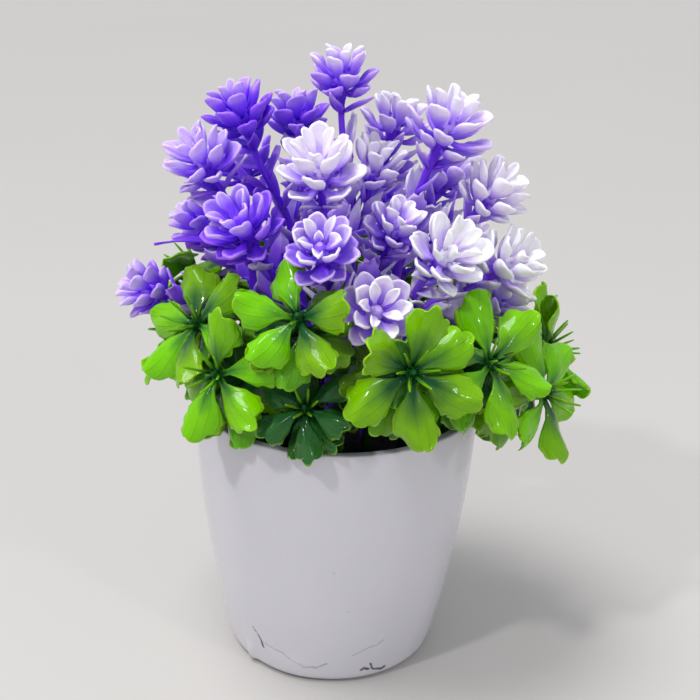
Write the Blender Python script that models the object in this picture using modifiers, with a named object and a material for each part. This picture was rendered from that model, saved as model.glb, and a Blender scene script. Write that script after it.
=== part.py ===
"""A small artificial plant in a white plastic pot.

Violet flower sprays rise from the middle of a dark plug, and green leaf sprigs bend out over the pot's
rim all round them. Every spray and every sprig is one moulded body that stands in its own hole.

Frame: +Z up, origin on the table at the centre of the pot's base, -Y towards the viewer. Sizes are in
millimetres here and become metres where a mesh is made.
"""

import math
import random

import bmesh
import bpy
import numpy as np
from mathutils import Matrix, Vector

MM = 0.001
UP = Vector((0.0, 0.0, 1.0))

# Pot: a tapering cup, turned about Z
POT_HEIGHT = 77.0
RIM_RADIUS = 40.0
POT_TAPER = 10.2
POT_TAPER_POWER = 1.8
BASE_ROUND = 2.6
WALL = 1.8
FLOOR = 2.4
FLOOR_CHAMFER = 2.5
WALL_HEIGHTS = (7.0, 20.0, 40.0, 60.0)
POT_SEGMENTS = 32

# Plug that fills the pot
PLUG_TOP = 67.0
PLUG_GAP = 0.35
HOLE_DEPTH = 18.0
HOLE_CLEARANCE = 0.6
HOLE_SIDES = 6

# Stems: sides and radii, and how far each head is spun from the last
SPRAY_SIDES = 5
SPRIG_SIDES = 6
SPRAY_STEM = 1.35
TWIG = 0.9
SPRIG_STEM = 1.35
SPRIG_NODE = 1.6
HEAD_SPIN = 29.0

# The end of a twig, as height above its head's base and radius: its leaflets' rings, then the head's bud
TWIG_END = (
    (-7.6, 0.9), (-5.2, 1.0), (-2.8, 0.9), (0.2, 1.7), (2.3, 2.2), (4.4, 2.1), (6.5, 1.7), (8.6, 0.7),
)
# The leaflets' ring, their length, width, lean from the axis and curl, and which sides bear one
BRACT_RING = 1
BRACT = (10.5, 3.2, 56.0, 14.0)
BRACT_SIDES = (0, 1, 3)
# The rings that bear petals, from the lowest up: petal length, width, lean and curl
HEAD_WHORLS = {
    4: (10.2, 6.5, 90.0, 64.0),
    5: (9.8, 5.9, 64.0, 50.0),
    6: (8.0, 3.3, 42.0, 24.0),
}
HEAD_MIDDLE = 6.5
HEAD_FOCUS = Vector((0.0, 5.0, 82.0))

# A leaf sprig, from its tip down: distance of each whorl from the tip, leaf length, width, lean, curl,
# and which of the stem's sides bear a leaf
SPRIG_WHORLS = (
    (2.0, 18.0, 12.4, 74.0, -24.0, (0, 1, 2, 3, 4, 5)),
    (10.5, 16.5, 11.2, 82.0, -32.0, (0, 1, 2, 3, 4)),
    (19.5, 13.5, 8.8, 84.0, -28.0, (0, 2, 4)),
)
WHORL_SPREAD = 1.5
SPRIG_TIP = ((0.6, 1.3), (-0.9, 0.5))
NEEDLE = (8.5, 0.5, 34.0, 10.0)

# The share of a blade's width at each share of its length
WIDTH_SHARES = {
    "petal": ((0.0, 0.3), (0.5, 0.84), (0.7, 1.0), (0.88, 0.9), (1.0, 0.6)),
    "leaf": ((0.0, 0.1), (0.3, 0.4), (0.55, 0.84), (0.78, 1.0), (1.0, 0.84)),
    "bract": ((0.0, 0.4), (0.35, 1.0), (0.6, 0.86), (0.85, 0.4), (1.0, 0.06)),
    "needle": ((0.0, 1.0), (1.0, 0.2)),
}
# How far a blade's end falls back at its shoulders and how deep its lobes are, as shares of its length,
# and how far its edges stand above its middle, in mm
SHOULDER_DROP = {"petal": 0.12, "leaf": 0.17, "bract": 0.0, "needle": 0.0}
LOBE_DEPTH = {"petal": 0.0, "leaf": 0.04, "bract": 0.0, "needle": 0.0}
LOBE_PITCH = 0.8
CUPS = {"petal": 0.9, "leaf": -0.8, "bract": 0.5, "needle": 0.0}
BLADE_THICKNESS = 1.1

# The faceted outline of each kind of blade, from one side of its root round its tip to the other side
# (across, along), and where along it the points of its thick middle line lie
RIMS = {
    "petal": ((-1, 0.5), (-0.94, 0.84), (-0.4, 1), (0.4, 1), (0.94, 0.84), (1, 0.5)),
    "leaf": (
        (-1, 0.36), (-1, 0.7), (-0.8, 1), (-0.4, 1), (0, 1), (0.4, 1), (0.8, 1), (1, 0.7), (1, 0.36),
    ),
    "bract": ((-1, 0.4), (0, 1), (1, 0.4)),
    "needle": ((0, 1),),
}
SPINES = {"petal": (0.62,), "leaf": (0.6,), "bract": (0.42,), "needle": ()}

# Flower sprays: tone, hole (x, y), fork (x, y, z), heads (x, y, z, size)
FLOWER_SPRAYS = (
    ("violet", (-5, 5), (-13, 7, 118), ((-28, 4, 156, 1.0), (-13, 17, 153, 0.9))),
    ("violet", (-9, -7), (-15, -13, 104), ((-25, -28, 134, 1.08),)),
    ("violet", (-12, 1), (-23, 0, 104), ((-37, -12, 147, 1.0), (-54, 0, 107, 0.9), (-40, 10, 124, 0.9))),
    ("lilac", (-2, -4), (-3, -9, 116), ((-6, -21, 148, 1.12), (8, 3, 143, 0.95))),
    ("lilac", (2, 4), (3, 6, 126), ((-1, 2, 167, 0.92), (14, 18, 152, 0.95))),
    ("lilac", (7, 0), (16, -1, 118), ((27, -5, 156, 1.14), (40, -7, 139, 1.02))),
    ("white", (8, -7), (20, -13, 104), ((27, -30, 129, 1.08), (45, -14, 122, 1.04), (47, 4, 106, 0.9))),
    ("lilac", (1, -11), (3, -24, 104), ((9, -41, 117, 1.0), (-5, -37, 131, 0.98), (14, -15, 131, 0.9))),
    ("violet", (-7, 11), (-15, 18, 106), ((-30, 27, 138, 1.05), (-10, 38, 132, 1.0), (-36, 30, 114, 0.95))),
    ("lilac", (8, 9), (17, 17, 106), ((30, 20, 137, 1.05), (14, 40, 128, 1.0), (37, 30, 114, 0.95))),
)

# Leaf sprigs: hole (x, y), tip (x, y, z), the way the tip faces, how far its whorls are spun, size
LEAF_SPRIGS = (
    ((-20, -12), (-38, -21, 105), (-0.55, -0.60, 0.58), 30, 1.0),
    ((-14, -20), (-31, -36, 97), (-0.40, -0.82, 0.42), -5, 1.0),
    ((-4, -20), (-10, -43, 116), (-0.10, -0.72, 0.68), 27, 0.9),
    ((8, -22), (18, -50, 105), (0.12, -0.90, 0.42), 0, 1.0),
    ((18, -16), (39, -37, 103), (0.50, -0.66, 0.56), 0, 1.0),
    ((23, -7), (56, -24, 89), (0.82, -0.48, 0.25), 0, 1.0),
    ((24, 4), (60, 3, 92), (0.90, 0.05, 0.42), 20, 1.0),
    ((20, 15), (46, 28, 102), (0.75, 0.45, 0.48), 0, 1.0),
    ((9, 22), (15, 48, 97), (0.20, 0.90, 0.38), 30, 1.0),
    ((-7, 22), (-14, 47, 103), (-0.22, 0.86, 0.46), 10, 1.0),
    ((-19, 16), (-44, 26, 105), (-0.75, 0.45, 0.48), 0, 1.0),
    ((-24, 2), (-45, 3, 95), (-0.90, 0.05, 0.42), 20, 1.0),
    ((0, -27), (-8, -39, 90), (-0.12, -0.80, 0.58), 10, 0.72),
)

# Room between the pieces: the least distance between two blades' middles, and how a blade may give way
BLADE_ROOM = 2.1
SAME_PIECE_ROOM = 1.12
POT_ROOM = 1.3
STEM = -1
SAMPLE_STEP = 1.4
FREE_FROM = 0.25
LEANS = (28.0, 128.0)
SWINGS = (0, -12, 12, -24, 24, -38, 38, -52, 52)
SWING_LIMITS = {"petal": 24, "leaf": 52, "bract": 52, "needle": 24}
SWAYS = (0, -10, 10, -20, 20)
SCALES = (1.0, 0.88, 0.76, 0.64)

# Finishes: colour and roughness
FINISHES = {
    "pot": ((0.82, 0.81, 0.83), 0.25),
    "plug": ((0.03, 0.03, 0.028), 0.95),
    "leaf": ((0.24, 0.50, 0.03), 0.35),
    "violet": ((0.20, 0.08, 0.55), 0.45),
    "lilac": ((0.42, 0.28, 0.80), 0.45),
    "white": ((0.66, 0.56, 0.88), 0.45),
}


class Blade:
    """One petal, leaf, leaflet or needle: a thin strip that grows from a root and curls as it goes."""

    def __init__(self, kind, root, axis, out, lean, curl, length, width):
        self.kind = kind
        self.root = root
        self.axis = axis
        self.out = out
        self.lean = lean
        self.curl = curl
        self.length = length
        self.width = width

    def given(self, swing, sway, scale):
        """A copy of the blade that leans and turns a little more, and is a little shorter."""
        sway = math.radians(sway)
        out = math.cos(sway) * self.out + math.sin(sway) * self.axis.cross(self.out)
        return Blade(
            self.kind, self.root, self.axis, out, self.lean + swing, self.curl,
            self.length * scale, self.width * (0.5 + 0.5 * scale),
        )

    def points(self, across, along, lift=0.0):
        """Points on the blade's middle surface, lifted out of it, at these shares of width and length."""
        u = np.asarray(across, float)
        v = np.asarray(along, float)
        places, shares = np.transpose(WIDTH_SHARES[self.kind])
        share = np.interp(v, places, shares)
        lobes = LOBE_DEPTH[self.kind] * v**6 * (np.cos(2 * math.pi * u / LOBE_PITCH) - 1)
        s = self.length * v * (1 - SHOULDER_DROP[self.kind] * u**2 * v**2 + lobes)
        off = CUPS[self.kind] * (u * share) ** 2 + lift
        bend = math.radians(self.curl) / self.length
        x = 0.5 * self.width * share * u
        y = np.sin(bend * s) * (1 / bend - off)
        z = (1 - np.cos(bend * s)) / bend + off * np.cos(bend * s)
        lean = math.radians(self.lean)
        forward = math.cos(lean) * self.axis + math.sin(lean) * self.out
        normal = math.sin(lean) * self.axis - math.cos(lean) * self.out
        frame = np.array([forward.cross(normal), forward, normal])
        return np.array(self.root) + np.stack([x, y, z], -1) @ frame

    def samples(self):
        """Points spread over the blade, and which of them are past its root."""
        rows = max(3, round(self.length / SAMPLE_STEP) + 1)
        columns = max(3, round(self.width / SAMPLE_STEP) + 1)
        v, u = np.meshgrid(np.linspace(0.1, 1, rows), np.linspace(-1, 1, columns), indexing="ij")
        return self.points(u.ravel(), v.ravel()), v.ravel() >= FREE_FROM


class Limb:
    """A stem made of rings, each turned half a side from the one before, that bears blades.

    Between three rings the sides form diamonds, and a blade grows out of the diamond on the middle one.
    """

    def __init__(self, sides, rings, spin):
        self.sides = sides
        self.centres = [centre for centre, _ in rings]
        self.radii = [radius for _, radius in rings]
        self.axes = []
        self.outs = []
        self.blades = []
        out = Matrix.Rotation(math.radians(spin), 3, rings[-1][0] - rings[-2][0]) @ UP
        for i in reversed(range(len(rings))):
            before, after = self.centres[max(0, i - 1)], self.centres[min(i + 1, len(rings) - 1)]
            axis = (after - before).normalized()
            out = (out - out.dot(axis) * axis).normalized()
            self.axes.insert(0, axis)
            self.outs.insert(0, out)

    def way(self, ring, side):
        """The direction from a ring's centre at this many sides round it."""
        angle = 2 * math.pi * side / self.sides
        out = self.outs[ring]
        return math.cos(angle) * out + math.sin(angle) * self.axes[ring].cross(out)

    def bear(self, rank, kind, ring, side, lean, curl, length, width):
        """Plans a blade on a ring's diamond. Blades of a lower rank find their room first."""
        out = self.way(ring, side + 0.5 + 0.5 * (ring % 2))
        root = self.centres[ring] + self.radii[ring] * math.cos(math.pi / self.sides) * out
        blade = Blade(kind, root, self.axes[ring], out, lean, curl, length, width)
        self.blades.append((rank, ring, side, blade))

    def solid(self, name, collection):
        """The closed faceted mesh of the stem and its blades."""
        work = bmesh.new()
        rows = []
        for ring, (centre, radius) in enumerate(zip(self.centres, self.radii)):
            spots = [centre + radius * self.way(ring, k + 0.5 * (ring % 2)) for k in range(self.sides)]
            rows.append([work.verts.new(spot * MM) for spot in spots])
        borne = {(ring, side): blade for _, ring, side, blade in self.blades}
        for ring in range(len(rows)):
            for side in range(self.sides):
                left, right = rows[ring][(side + 1) % self.sides], rows[ring][side]
                level = (side + ring % 2) % self.sides
                above = rows[ring + 1][level] if ring + 1 < len(rows) else None
                below = rows[ring - 1][level] if ring else None
                if (ring, side) in borne:
                    add_blade(work, borne[ring, side], left, right, above, below)
                    continue
                if above:
                    work.faces.new((left, above, right))
                if below:
                    work.faces.new((left, right, below))
        work.faces.new(rows[0])
        work.faces.new(rows[-1])
        bmesh.ops.recalc_face_normals(work, faces=work.faces)
        mesh = bpy.data.meshes.new(name)
        work.to_mesh(mesh)
        work.free()
        obj = bpy.data.objects.new(name, mesh)
        collection.objects.link(obj)
        return obj


def add_blade(work, blade, left, right, above, below):
    """Grows a blade out of a diamond: one sharp rim, thickest along its middle, and split alike on both faces."""
    spine = (0.0,) + SPINES[blade.kind]
    rim = ((-1, 0.0),) + RIMS[blade.kind] + ((1, 0.0),)
    half = 0.5 * BLADE_THICKNESS
    edge = blade.points([u for u, _ in rim[1:-1]], [v for _, v in rim[1:-1]])
    edge = [left] + [work.verts.new(point * MM) for point in edge] + [right]
    nearest = [0]
    for (_, here), (_, after) in zip(rim, rim[1:]):
        nearest.append(min(range(len(spine)), key=lambda k: abs(spine[k] - (here + after) / 2)))
    nearest.append(0)
    for root, lift in ((above, half), (below, -half)):
        middle = blade.points([0.0] * len(spine[1:]), spine[1:], lift) if len(spine) > 1 else []
        middle = [root] + [work.verts.new(point * MM) for point in middle]
        for i, corner in enumerate(edge):
            if nearest[i] != nearest[i + 1]:
                work.faces.new((corner, middle[nearest[i]], middle[nearest[i + 1]]))
            if i + 1 < len(edge):
                work.faces.new((corner, edge[i + 1], middle[nearest[i + 1]]))


class Crowd:
    """Everything placed so far, as sample points, each marked with the piece and the whorl that it is in."""

    def __init__(self):
        self.points = np.empty((0, 3))
        self.radii = np.empty(0)
        self.marks = np.empty((0, 3), int)

    def add(self, points, radius, owner, whorl, free):
        marks = np.empty((len(points), 3), int)
        marks[:, 0], marks[:, 1], marks[:, 2] = owner, whorl, free
        self.points = np.vstack([self.points, points])
        self.radii = np.append(self.radii, np.full(len(points), radius))
        self.marks = np.vstack([self.marks, marks])

    def is_clear(self, points, owner, whorl, free):
        """True if the points keep their distance from other pieces, from their own piece and the pot."""
        low, high = points.min(0) - 4.0, points.max(0) + 4.0
        near = ((self.points > low) & (self.points < high)).all(1)
        if near.any():
            gaps = np.linalg.norm(points[:, None] - self.points[near][None], axis=2) - self.radii[near]
            owners, whorls, freed = self.marks[near].T
            beside = (owners == owner) & (whorls == whorl) & (freed == 1)
            others = (owners == owner) & (whorls != whorl) & (whorls != STEM)
            if gaps[:, owners != owner].min(initial=BLADE_ROOM) < BLADE_ROOM:
                return False
            if gaps[:, others].min(initial=SAME_PIECE_ROOM) < SAME_PIECE_ROOM:
                return False
            if gaps[free][:, beside].min(initial=SAME_PIECE_ROOM) < SAME_PIECE_ROOM:
                return False
        return pot_gap(points).min() > POT_ROOM


def jitter(*keys):
    """A generator of small random draws that depends only on the numbers that name a blade."""
    seed = 0
    for key in keys:
        seed = seed * 101 + key
    return random.Random(seed)


# The pot and the plug

def pot_radius(z):
    """The outer radius of the pot at this height."""
    taper = RIM_RADIUS - POT_TAPER * (1 - z / POT_HEIGHT) ** POT_TAPER_POWER
    below = np.clip(1 - z / BASE_ROUND, 0, 1)
    return taper - BASE_ROUND * (1 - np.sqrt(1 - below**2))


def pot_gap(points):
    """How far points are from the pot's wall and the plug's top: negative inside them."""
    radius = np.hypot(points[:, 0], points[:, 1])
    z = points[:, 2]
    wall = pot_radius(np.clip(z, 0, POT_HEIGHT))
    beside = np.maximum(radius - wall, wall - WALL - radius)
    above = z - POT_HEIGHT
    to_wall = np.where(above > 0, np.hypot(above, np.maximum(beside, 0)), beside)
    to_plug = np.where(radius < wall, z - PLUG_TOP, POT_HEIGHT)
    return np.minimum(to_wall, to_plug)


def turned(name, profile, collection):
    """A solid of revolution: the profile, from the axis round to the axis again, turned about Z."""
    mesh = bpy.data.meshes.new(name)
    points = [(r * MM, 0.0, z * MM) for r, z in profile]
    mesh.from_pydata(points, [(i, i + 1) for i in range(len(points) - 1)], [])
    obj = bpy.data.objects.new(name, mesh)
    collection.objects.link(obj)
    screw = obj.modifiers.new("turn", "SCREW")
    screw.steps = screw.render_steps = POT_SEGMENTS
    screw.use_merge_vertices = True
    screw.merge_threshold = 1e-5
    return obj


def hollow(gap, top):
    """The profile of the pot's inside, or of what fills it with a gap all round, up to this height."""
    bottom = FLOOR + gap
    corner = (pot_radius(bottom + FLOOR_CHAMFER) - WALL - gap, bottom + FLOOR_CHAMFER)
    walls = [(pot_radius(z) - WALL - gap, z) for z in WALL_HEIGHTS + (top,)]
    return [(0, bottom), (corner[0] - FLOOR_CHAMFER - 0.4 * gap, bottom), corner] + walls


def build_pot(collection):
    lip = 0.28 * WALL
    outer = [(pot_radius(z), z) for z in (0.0, 0.3 * BASE_ROUND, BASE_ROUND) + WALL_HEIGHTS]
    rim = [(RIM_RADIUS - WALL + lip, POT_HEIGHT), (RIM_RADIUS - lip, POT_HEIGHT)]
    shoulder = (pot_radius(POT_HEIGHT - lip), POT_HEIGHT - lip)
    profile = hollow(0.0, POT_HEIGHT - lip) + rim + [shoulder] + outer[::-1] + [(0, 0)]
    return turned("pot", profile, collection)


def build_plug(collection, holes, cutters):
    """The plug, with a blind hole for each stem."""
    plug = turned("filler_plug", hollow(PLUG_GAP, PLUG_TOP) + [(0, PLUG_TOP)], collection)
    for index, (x, y, stem_radius) in enumerate(holes):
        bpy.ops.mesh.primitive_cylinder_add(
            vertices=HOLE_SIDES,
            radius=(stem_radius + HOLE_CLEARANCE) * MM,
            depth=(HOLE_DEPTH + 4) * MM,
            location=(x * MM, y * MM, (PLUG_TOP - HOLE_DEPTH / 2 + 2) * MM),
        )
        cutter = bpy.context.object
        cutter.name = f"hole_{index:02d}"
        move_to(cutter, cutters)
        cutter.hide_render = True
        cutter.display_type = "WIRE"
    drill = plug.modifiers.new("drill", "BOOLEAN")
    drill.operation = "DIFFERENCE"
    drill.operand_type = "COLLECTION"
    drill.collection = cutters
    drill.solver = "EXACT"
    return plug


def move_to(obj, collection):
    for old in list(obj.users_collection):
        old.objects.unlink(obj)
    collection.objects.link(obj)


# The plan: where every stem and blade goes, before any solid is made

class Piece:
    """A spray or a sprig, as the limbs that it is fused from."""

    def __init__(self, name, finish, hole, stem_radius):
        self.name = name
        self.finish = finish
        self.hole = hole
        self.stem_radius = stem_radius
        self.limbs = []


def arc(start, start_way, end, end_way, count):
    """Points on a smooth line from start to end, which leaves and arrives along the two directions."""
    reach = 0.4 * (end - start).length
    a, b = start + reach * start_way, end - reach * end_way
    found = []
    for i in range(count):
        t = i / (count - 1)
        s = 1 - t
        found.append(s**3 * start + 3 * s * s * t * a + 3 * s * t * t * b + t**3 * end)
    return found


def place_on(line, back):
    """The point this far back along a line from its end, or past the end for a negative distance."""
    for after, before in zip(reversed(line), reversed(line[:-1])):
        step = (after - before).length
        if back <= step:
            return after + (before - after) * (back / step)
        back -= step
    return line[0]


def stem_foot(hole):
    """The straight foot of a stem: near the bottom of its hole, and at the plug's top."""
    return [Vector((*hole, PLUG_TOP - HOLE_DEPTH + 1.0)), Vector((*hole, PLUG_TOP))]


def plan_spray(number, tone, hole, fork, heads):
    piece = Piece(f"flower_spray_{number:02d}", tone, hole, SPRAY_STEM)
    foot, top = stem_foot(hole)
    fork = Vector(fork)
    way = ((fork - top).normalized() + UP).normalized()
    for index, (x, y, z, size) in enumerate(heads):
        middle = Vector((x, y, z))
        axis = (middle - HEAD_FOCUS).normalized()
        base = middle - HEAD_MIDDLE * size * axis
        end = [(base + axis * height * size, radius * size) for height, radius in TWIG_END]
        twig = [(spot, TWIG) for spot in arc(fork, way, end[0][0], axis, 4)[1:-1]]
        if index == 0:
            start = [(spot, SPRAY_STEM) for spot in [foot] + arc(top, UP, fork, way, 4)]
        else:
            start = [(fork - (2.0 + index) * way, TWIG)]
        first = len(start + twig)
        limb = Limb(SPRAY_SIDES, start + twig + end, HEAD_SPIN * (number + index))
        plan_bracts(limb, first + BRACT_RING, number, index)
        plan_petals(limb, first, size, number, index)
        piece.limbs.append(limb)
    return piece


def plan_petals(limb, first, size, *keys):
    for rank, (ring, (length, width, lean, curl)) in enumerate(HEAD_WHORLS.items()):
        for side in range(SPRAY_SIDES):
            draw = jitter(1, *keys, ring, side)
            limb.bear(
                rank, "petal", first + ring, side, lean + draw.uniform(-7, 7), curl + draw.uniform(-8, 8),
                length * size * draw.uniform(0.94, 1.06), width * size * draw.uniform(0.95, 1.05),
            )


def plan_bracts(limb, ring, *keys):
    length, width, lean, curl = BRACT
    for side in BRACT_SIDES:
        draw = jitter(2, *keys, side)
        limb.bear(
            6, "bract", ring, side, lean + draw.uniform(-12, 12), curl + draw.uniform(-20, 20),
            length * draw.uniform(0.85, 1.15), width,
        )


def plan_sprig(number, hole, tip, facing, spin, size):
    piece = Piece(f"leaf_sprig_{number:02d}", "leaf", hole, SPRIG_STEM)
    foot, top = stem_foot(hole)
    line = arc(top, UP, Vector(tip), Vector(facing).normalized(), 24)
    rings = [(foot, SPRIG_STEM), (top, SPRIG_STEM), (line[5], SPRIG_STEM), (line[10], SPRIG_STEM)]
    whorls = []
    for back, *_ in reversed(SPRIG_WHORLS):
        whorls.insert(0, len(rings) + 1)
        rings += [(place_on(line, (back + WHORL_SPREAD * step) * size), SPRIG_NODE) for step in (1, 0, -1)]
    rings.pop()
    rings += [(place_on(line, back), radius) for back, radius in SPRIG_TIP]
    limb = Limb(SPRIG_SIDES, rings, spin)
    for level, (_, length, width, lean, curl, sides) in enumerate(SPRIG_WHORLS):
        for side in sides:
            draw = jitter(3, number, level, side)
            limb.bear(
                3 + level, "leaf", whorls[level], side,
                lean + draw.uniform(-8, 8), curl + draw.uniform(-14, 14),
                length * size * draw.uniform(0.92, 1.06), width * size * draw.uniform(0.94, 1.06),
            )
    length, width, lean, curl = NEEDLE
    for side in range(SPRIG_SIDES):
        limb.bear(7, "needle", whorls[0] + 1, side, lean, curl, length * size, width)
    piece.limbs.append(limb)
    return piece


def settle(pieces):
    """Bends each blade clear of what is already there. A blade that finds no room is left out."""
    crowd = Crowd()
    queue = []
    for owner, piece in enumerate(pieces):
        for number, limb in enumerate(piece.limbs):
            queue += [(blade[0], owner, 100 * number + blade[1], limb, blade) for blade in limb.blades]
            limb.blades = []
            for a, b, radius in zip(limb.centres, limb.centres[1:], limb.radii):
                steps = max(2, round((b - a).length / 1.2))
                crowd.add(np.array([a.lerp(b, i / steps) for i in range(steps)]), radius, owner, STEM, False)
    gives = sorted(
        ((swing, sway, scale) for swing in SWINGS for sway in SWAYS for scale in SCALES),
        key=lambda g: abs(g[0]) / 14 + abs(g[1]) / 12 + (1 - g[2]) * 11,
    )
    left_out = []
    for rank, owner, whorl, limb, (_, ring, side, blade) in sorted(queue, key=lambda entry: entry[0]):
        for give in gives:
            bent = blade.given(*give)
            if abs(give[0]) > SWING_LIMITS[blade.kind] or not LEANS[0] <= bent.lean <= LEANS[1]:
                continue
            points, free = bent.samples()
            if crowd.is_clear(points, owner, whorl, free):
                crowd.add(points, 0.0, owner, whorl, free)
                limb.blades.append((rank, ring, side, bent))
                break
        else:
            left_out.append((pieces[owner].name, blade.kind, ring, side))
    return left_out


def plan():
    pieces = [plan_spray(i + 1, *spray) for i, spray in enumerate(FLOWER_SPRAYS)]
    pieces += [plan_sprig(i + 1, *sprig) for i, sprig in enumerate(LEAF_SPRIGS)]
    left_out = settle(pieces)
    return pieces, left_out


# Making the pieces

def material(name):
    colour, roughness = FINISHES[name]
    made = bpy.data.materials.new(name)
    made.use_nodes = True
    shader = made.node_tree.nodes["Principled BSDF"]
    shader.inputs["Base Color"].default_value = (*colour, 1.0)
    shader.inputs["Roughness"].default_value = roughness
    return made


def build_piece(piece, collection):
    """Fuses a piece's limbs into one closed solid."""
    repeats = bpy.data.collections.new(piece.name + "_limbs")
    bpy.context.scene.collection.children.link(repeats)
    body = piece.limbs[0].solid(piece.name, collection)
    for index, limb in enumerate(piece.limbs[1:]):
        limb.solid(f"{piece.name}_limb_{index}", repeats)
    if repeats.objects:
        union = body.modifiers.new("join", "BOOLEAN")
        union.operation = "UNION"
        union.operand_type = "COLLECTION"
        union.collection = repeats
        union.solver = "EXACT"
        bpy.context.view_layer.update()
        graph = bpy.context.evaluated_depsgraph_get()
        fused = bpy.data.meshes.new_from_object(body.evaluated_get(graph))
        body.modifiers.clear()
        body.data = fused
        for limb in list(repeats.objects):
            bpy.data.objects.remove(limb)
    bpy.data.collections.remove(repeats)
    return body


def main():
    for obj in list(bpy.data.objects):
        bpy.data.objects.remove(obj)
    scene = bpy.context.scene
    plant = bpy.data.collections.new("potted_plant")
    cutters = bpy.data.collections.new("cutters")
    scene.collection.children.link(plant)
    scene.collection.children.link(cutters)

    finishes = {name: material(name) for name in FINISHES}
    pieces, left_out = plan()
    build_pot(plant).data.materials.append(finishes["pot"])
    holes = [(*piece.hole, piece.stem_radius) for piece in pieces]
    build_plug(plant, holes, cutters).data.materials.append(finishes["plug"])
    for piece in pieces:
        solid = build_piece(piece, plant)
        solid.data.materials.clear()
        solid.data.materials.append(finishes[piece.finish])
    for obj in plant.objects:
        obj.data.shade_smooth()
        obj.data.set_sharp_from_angle(angle=math.radians(32))
    print("blades left out for want of room:", left_out)


main()
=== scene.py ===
"""A small artificial plant in a white plastic pot: petals, leaves, finishes, floor, light and camera.

The stems and blades stand where the frame's solids stand, because the same rules and the same seeded
draws place them. A blade here is any petal, leaf, leaflet or needle. Geometry Nodes grow the fine shape of
each one. Sizes in the plan are in millimetres and become metres where a mesh is made.
"""

import functools
import itertools
import math
import random
from typing import NamedTuple

import bmesh
import bpy
import numpy as np
from mathutils import Matrix, Vector, noise


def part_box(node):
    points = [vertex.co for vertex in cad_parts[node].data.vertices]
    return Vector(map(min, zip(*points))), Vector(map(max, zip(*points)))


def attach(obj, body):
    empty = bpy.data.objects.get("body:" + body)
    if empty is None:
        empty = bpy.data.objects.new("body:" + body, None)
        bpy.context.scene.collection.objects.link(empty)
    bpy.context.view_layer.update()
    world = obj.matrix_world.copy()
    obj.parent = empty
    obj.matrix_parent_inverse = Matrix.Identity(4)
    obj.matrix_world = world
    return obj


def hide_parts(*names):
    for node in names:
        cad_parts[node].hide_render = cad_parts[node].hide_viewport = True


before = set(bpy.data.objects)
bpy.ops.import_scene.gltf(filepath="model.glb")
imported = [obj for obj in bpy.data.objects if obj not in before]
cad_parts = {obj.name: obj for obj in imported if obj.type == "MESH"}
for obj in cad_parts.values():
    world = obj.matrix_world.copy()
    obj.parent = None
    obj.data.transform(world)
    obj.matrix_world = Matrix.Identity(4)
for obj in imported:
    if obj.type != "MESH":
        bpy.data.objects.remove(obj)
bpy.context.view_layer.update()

bl_info = {
    "name": "Potted artificial plant",
    "version": (1, 0, 0),
    "blender": (4, 5, 0),
    "location": "3D View > Sidebar > Plant",
    "description": "Dresses the pot, the flower sprays and the leaf sprigs of an artificial plant",
    "category": "Object",
}

MM = 0.001
# Closer than this counts as the same place, in metres
CLOSE = 1e-6
BODY = "root"
UP = Vector((0.0, 0.0, 1.0))

# The plan's sizes, as the solids have them: the pot and what fills it
POT_HEIGHT = 77.0
RIM_RADIUS = 40.0
POT_TAPER = 10.2
POT_TAPER_POWER = 1.8
BASE_ROUND = 2.6
WALL = 1.8
# The rim's width, and how square it is: 1 is a round bead, less is flatter on top
LIP = 2.6
RIM_SQUARE = 0.4
FLOOR = 2.4
# The inside of the pot's floor has rings this far in from the wall
FLOOR_RINGS = (4.8, 1.92)
FLOOR_CURVE = 1.2
PLUG_TOP = 67.0
PLUG_GAP = 0.35
HOLE_DEPTH = 18.0

# Hairline cracks by the pot's foot, then two dark marks low on it: half width at their start and end in mm,
# depth of colour, and points as degrees round the pot from its front and height in mm
CRACKS = (
    (0.14, 0.5, 1.0, ((-41.5, 14.6), (-38.6, 12.6), (-37.0, 10.6), (-36.4, 8.6))),
    (0.34, 0.32, 0.34, ((-34.5, 10.2), (-30.0, 9.6), (-25.5, 9.3), (-19.5, 7.4), (-15.0, 6.3))),
    (0.5, 0.32, 0.4, ((-15.0, 6.3), (-13.6, 5.5), (-7.9, 5.9), (-6.6, 5.6), (-1.2, 7.6))),
    (0.22, 0.36, 0.28, ((11.5, 10.4), (15.5, 11.7), (19.0, 12.8), (23.9, 13.1), (26.7, 14.4))),
    # Two dark marks low on the foot, drawn like the cracks
    (0.4, 0.6, 1.0, ((17.3, 4.3), (18.8, 4.9), (21.2, 4.1))),
    (0.3, 0.6, 1.0, ((22.2, 6.3), (23.6, 3.8), (26.4, 3.5), (29.0, 2.9), (31.0, 3.3))),
)
# Where the cracked wall stands out a little: degrees from and to, top and depth in mm
BULGES = ((-36.0, -4.0, 9.0, 0.35), (-51.0, -44.0, 7.0, 0.9))

# Stems: sides that can bear a blade, radii, and how far each head is spun from the last
SPRAY_SIDES = 5
SPRIG_SIDES = 6
SPRAY_STEM = 1.35
TWIG = 0.9
SPRIG_STEM = 1.35
SPRIG_NODE = 1.6
HEAD_SPIN = 29.0
# How far above the bottom of its hole a stem ends, and how many points draw a stem's bend
FOOT_GAP = 1.0
SPRAY_BEND = 4
SPRIG_BEND = 24
# Which points of a leaf sprig's bend have rings below its whorls
SPRIG_RINGS = (5, 10)

# The end of a twig, as height above its head's base and radius: its leaflets' rings, then the head's bud
TWIG_END = (
    (-7.6, 0.9), (-5.2, 1.0), (-2.8, 0.9), (0.2, 1.7), (2.3, 2.2), (4.4, 2.1), (6.5, 1.7), (8.6, 0.7),
)
BRACT_RING = 1
BRACT = (10.5, 3.2, 56.0, 14.0)
BRACT_SIDES = (0, 1, 3)
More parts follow.
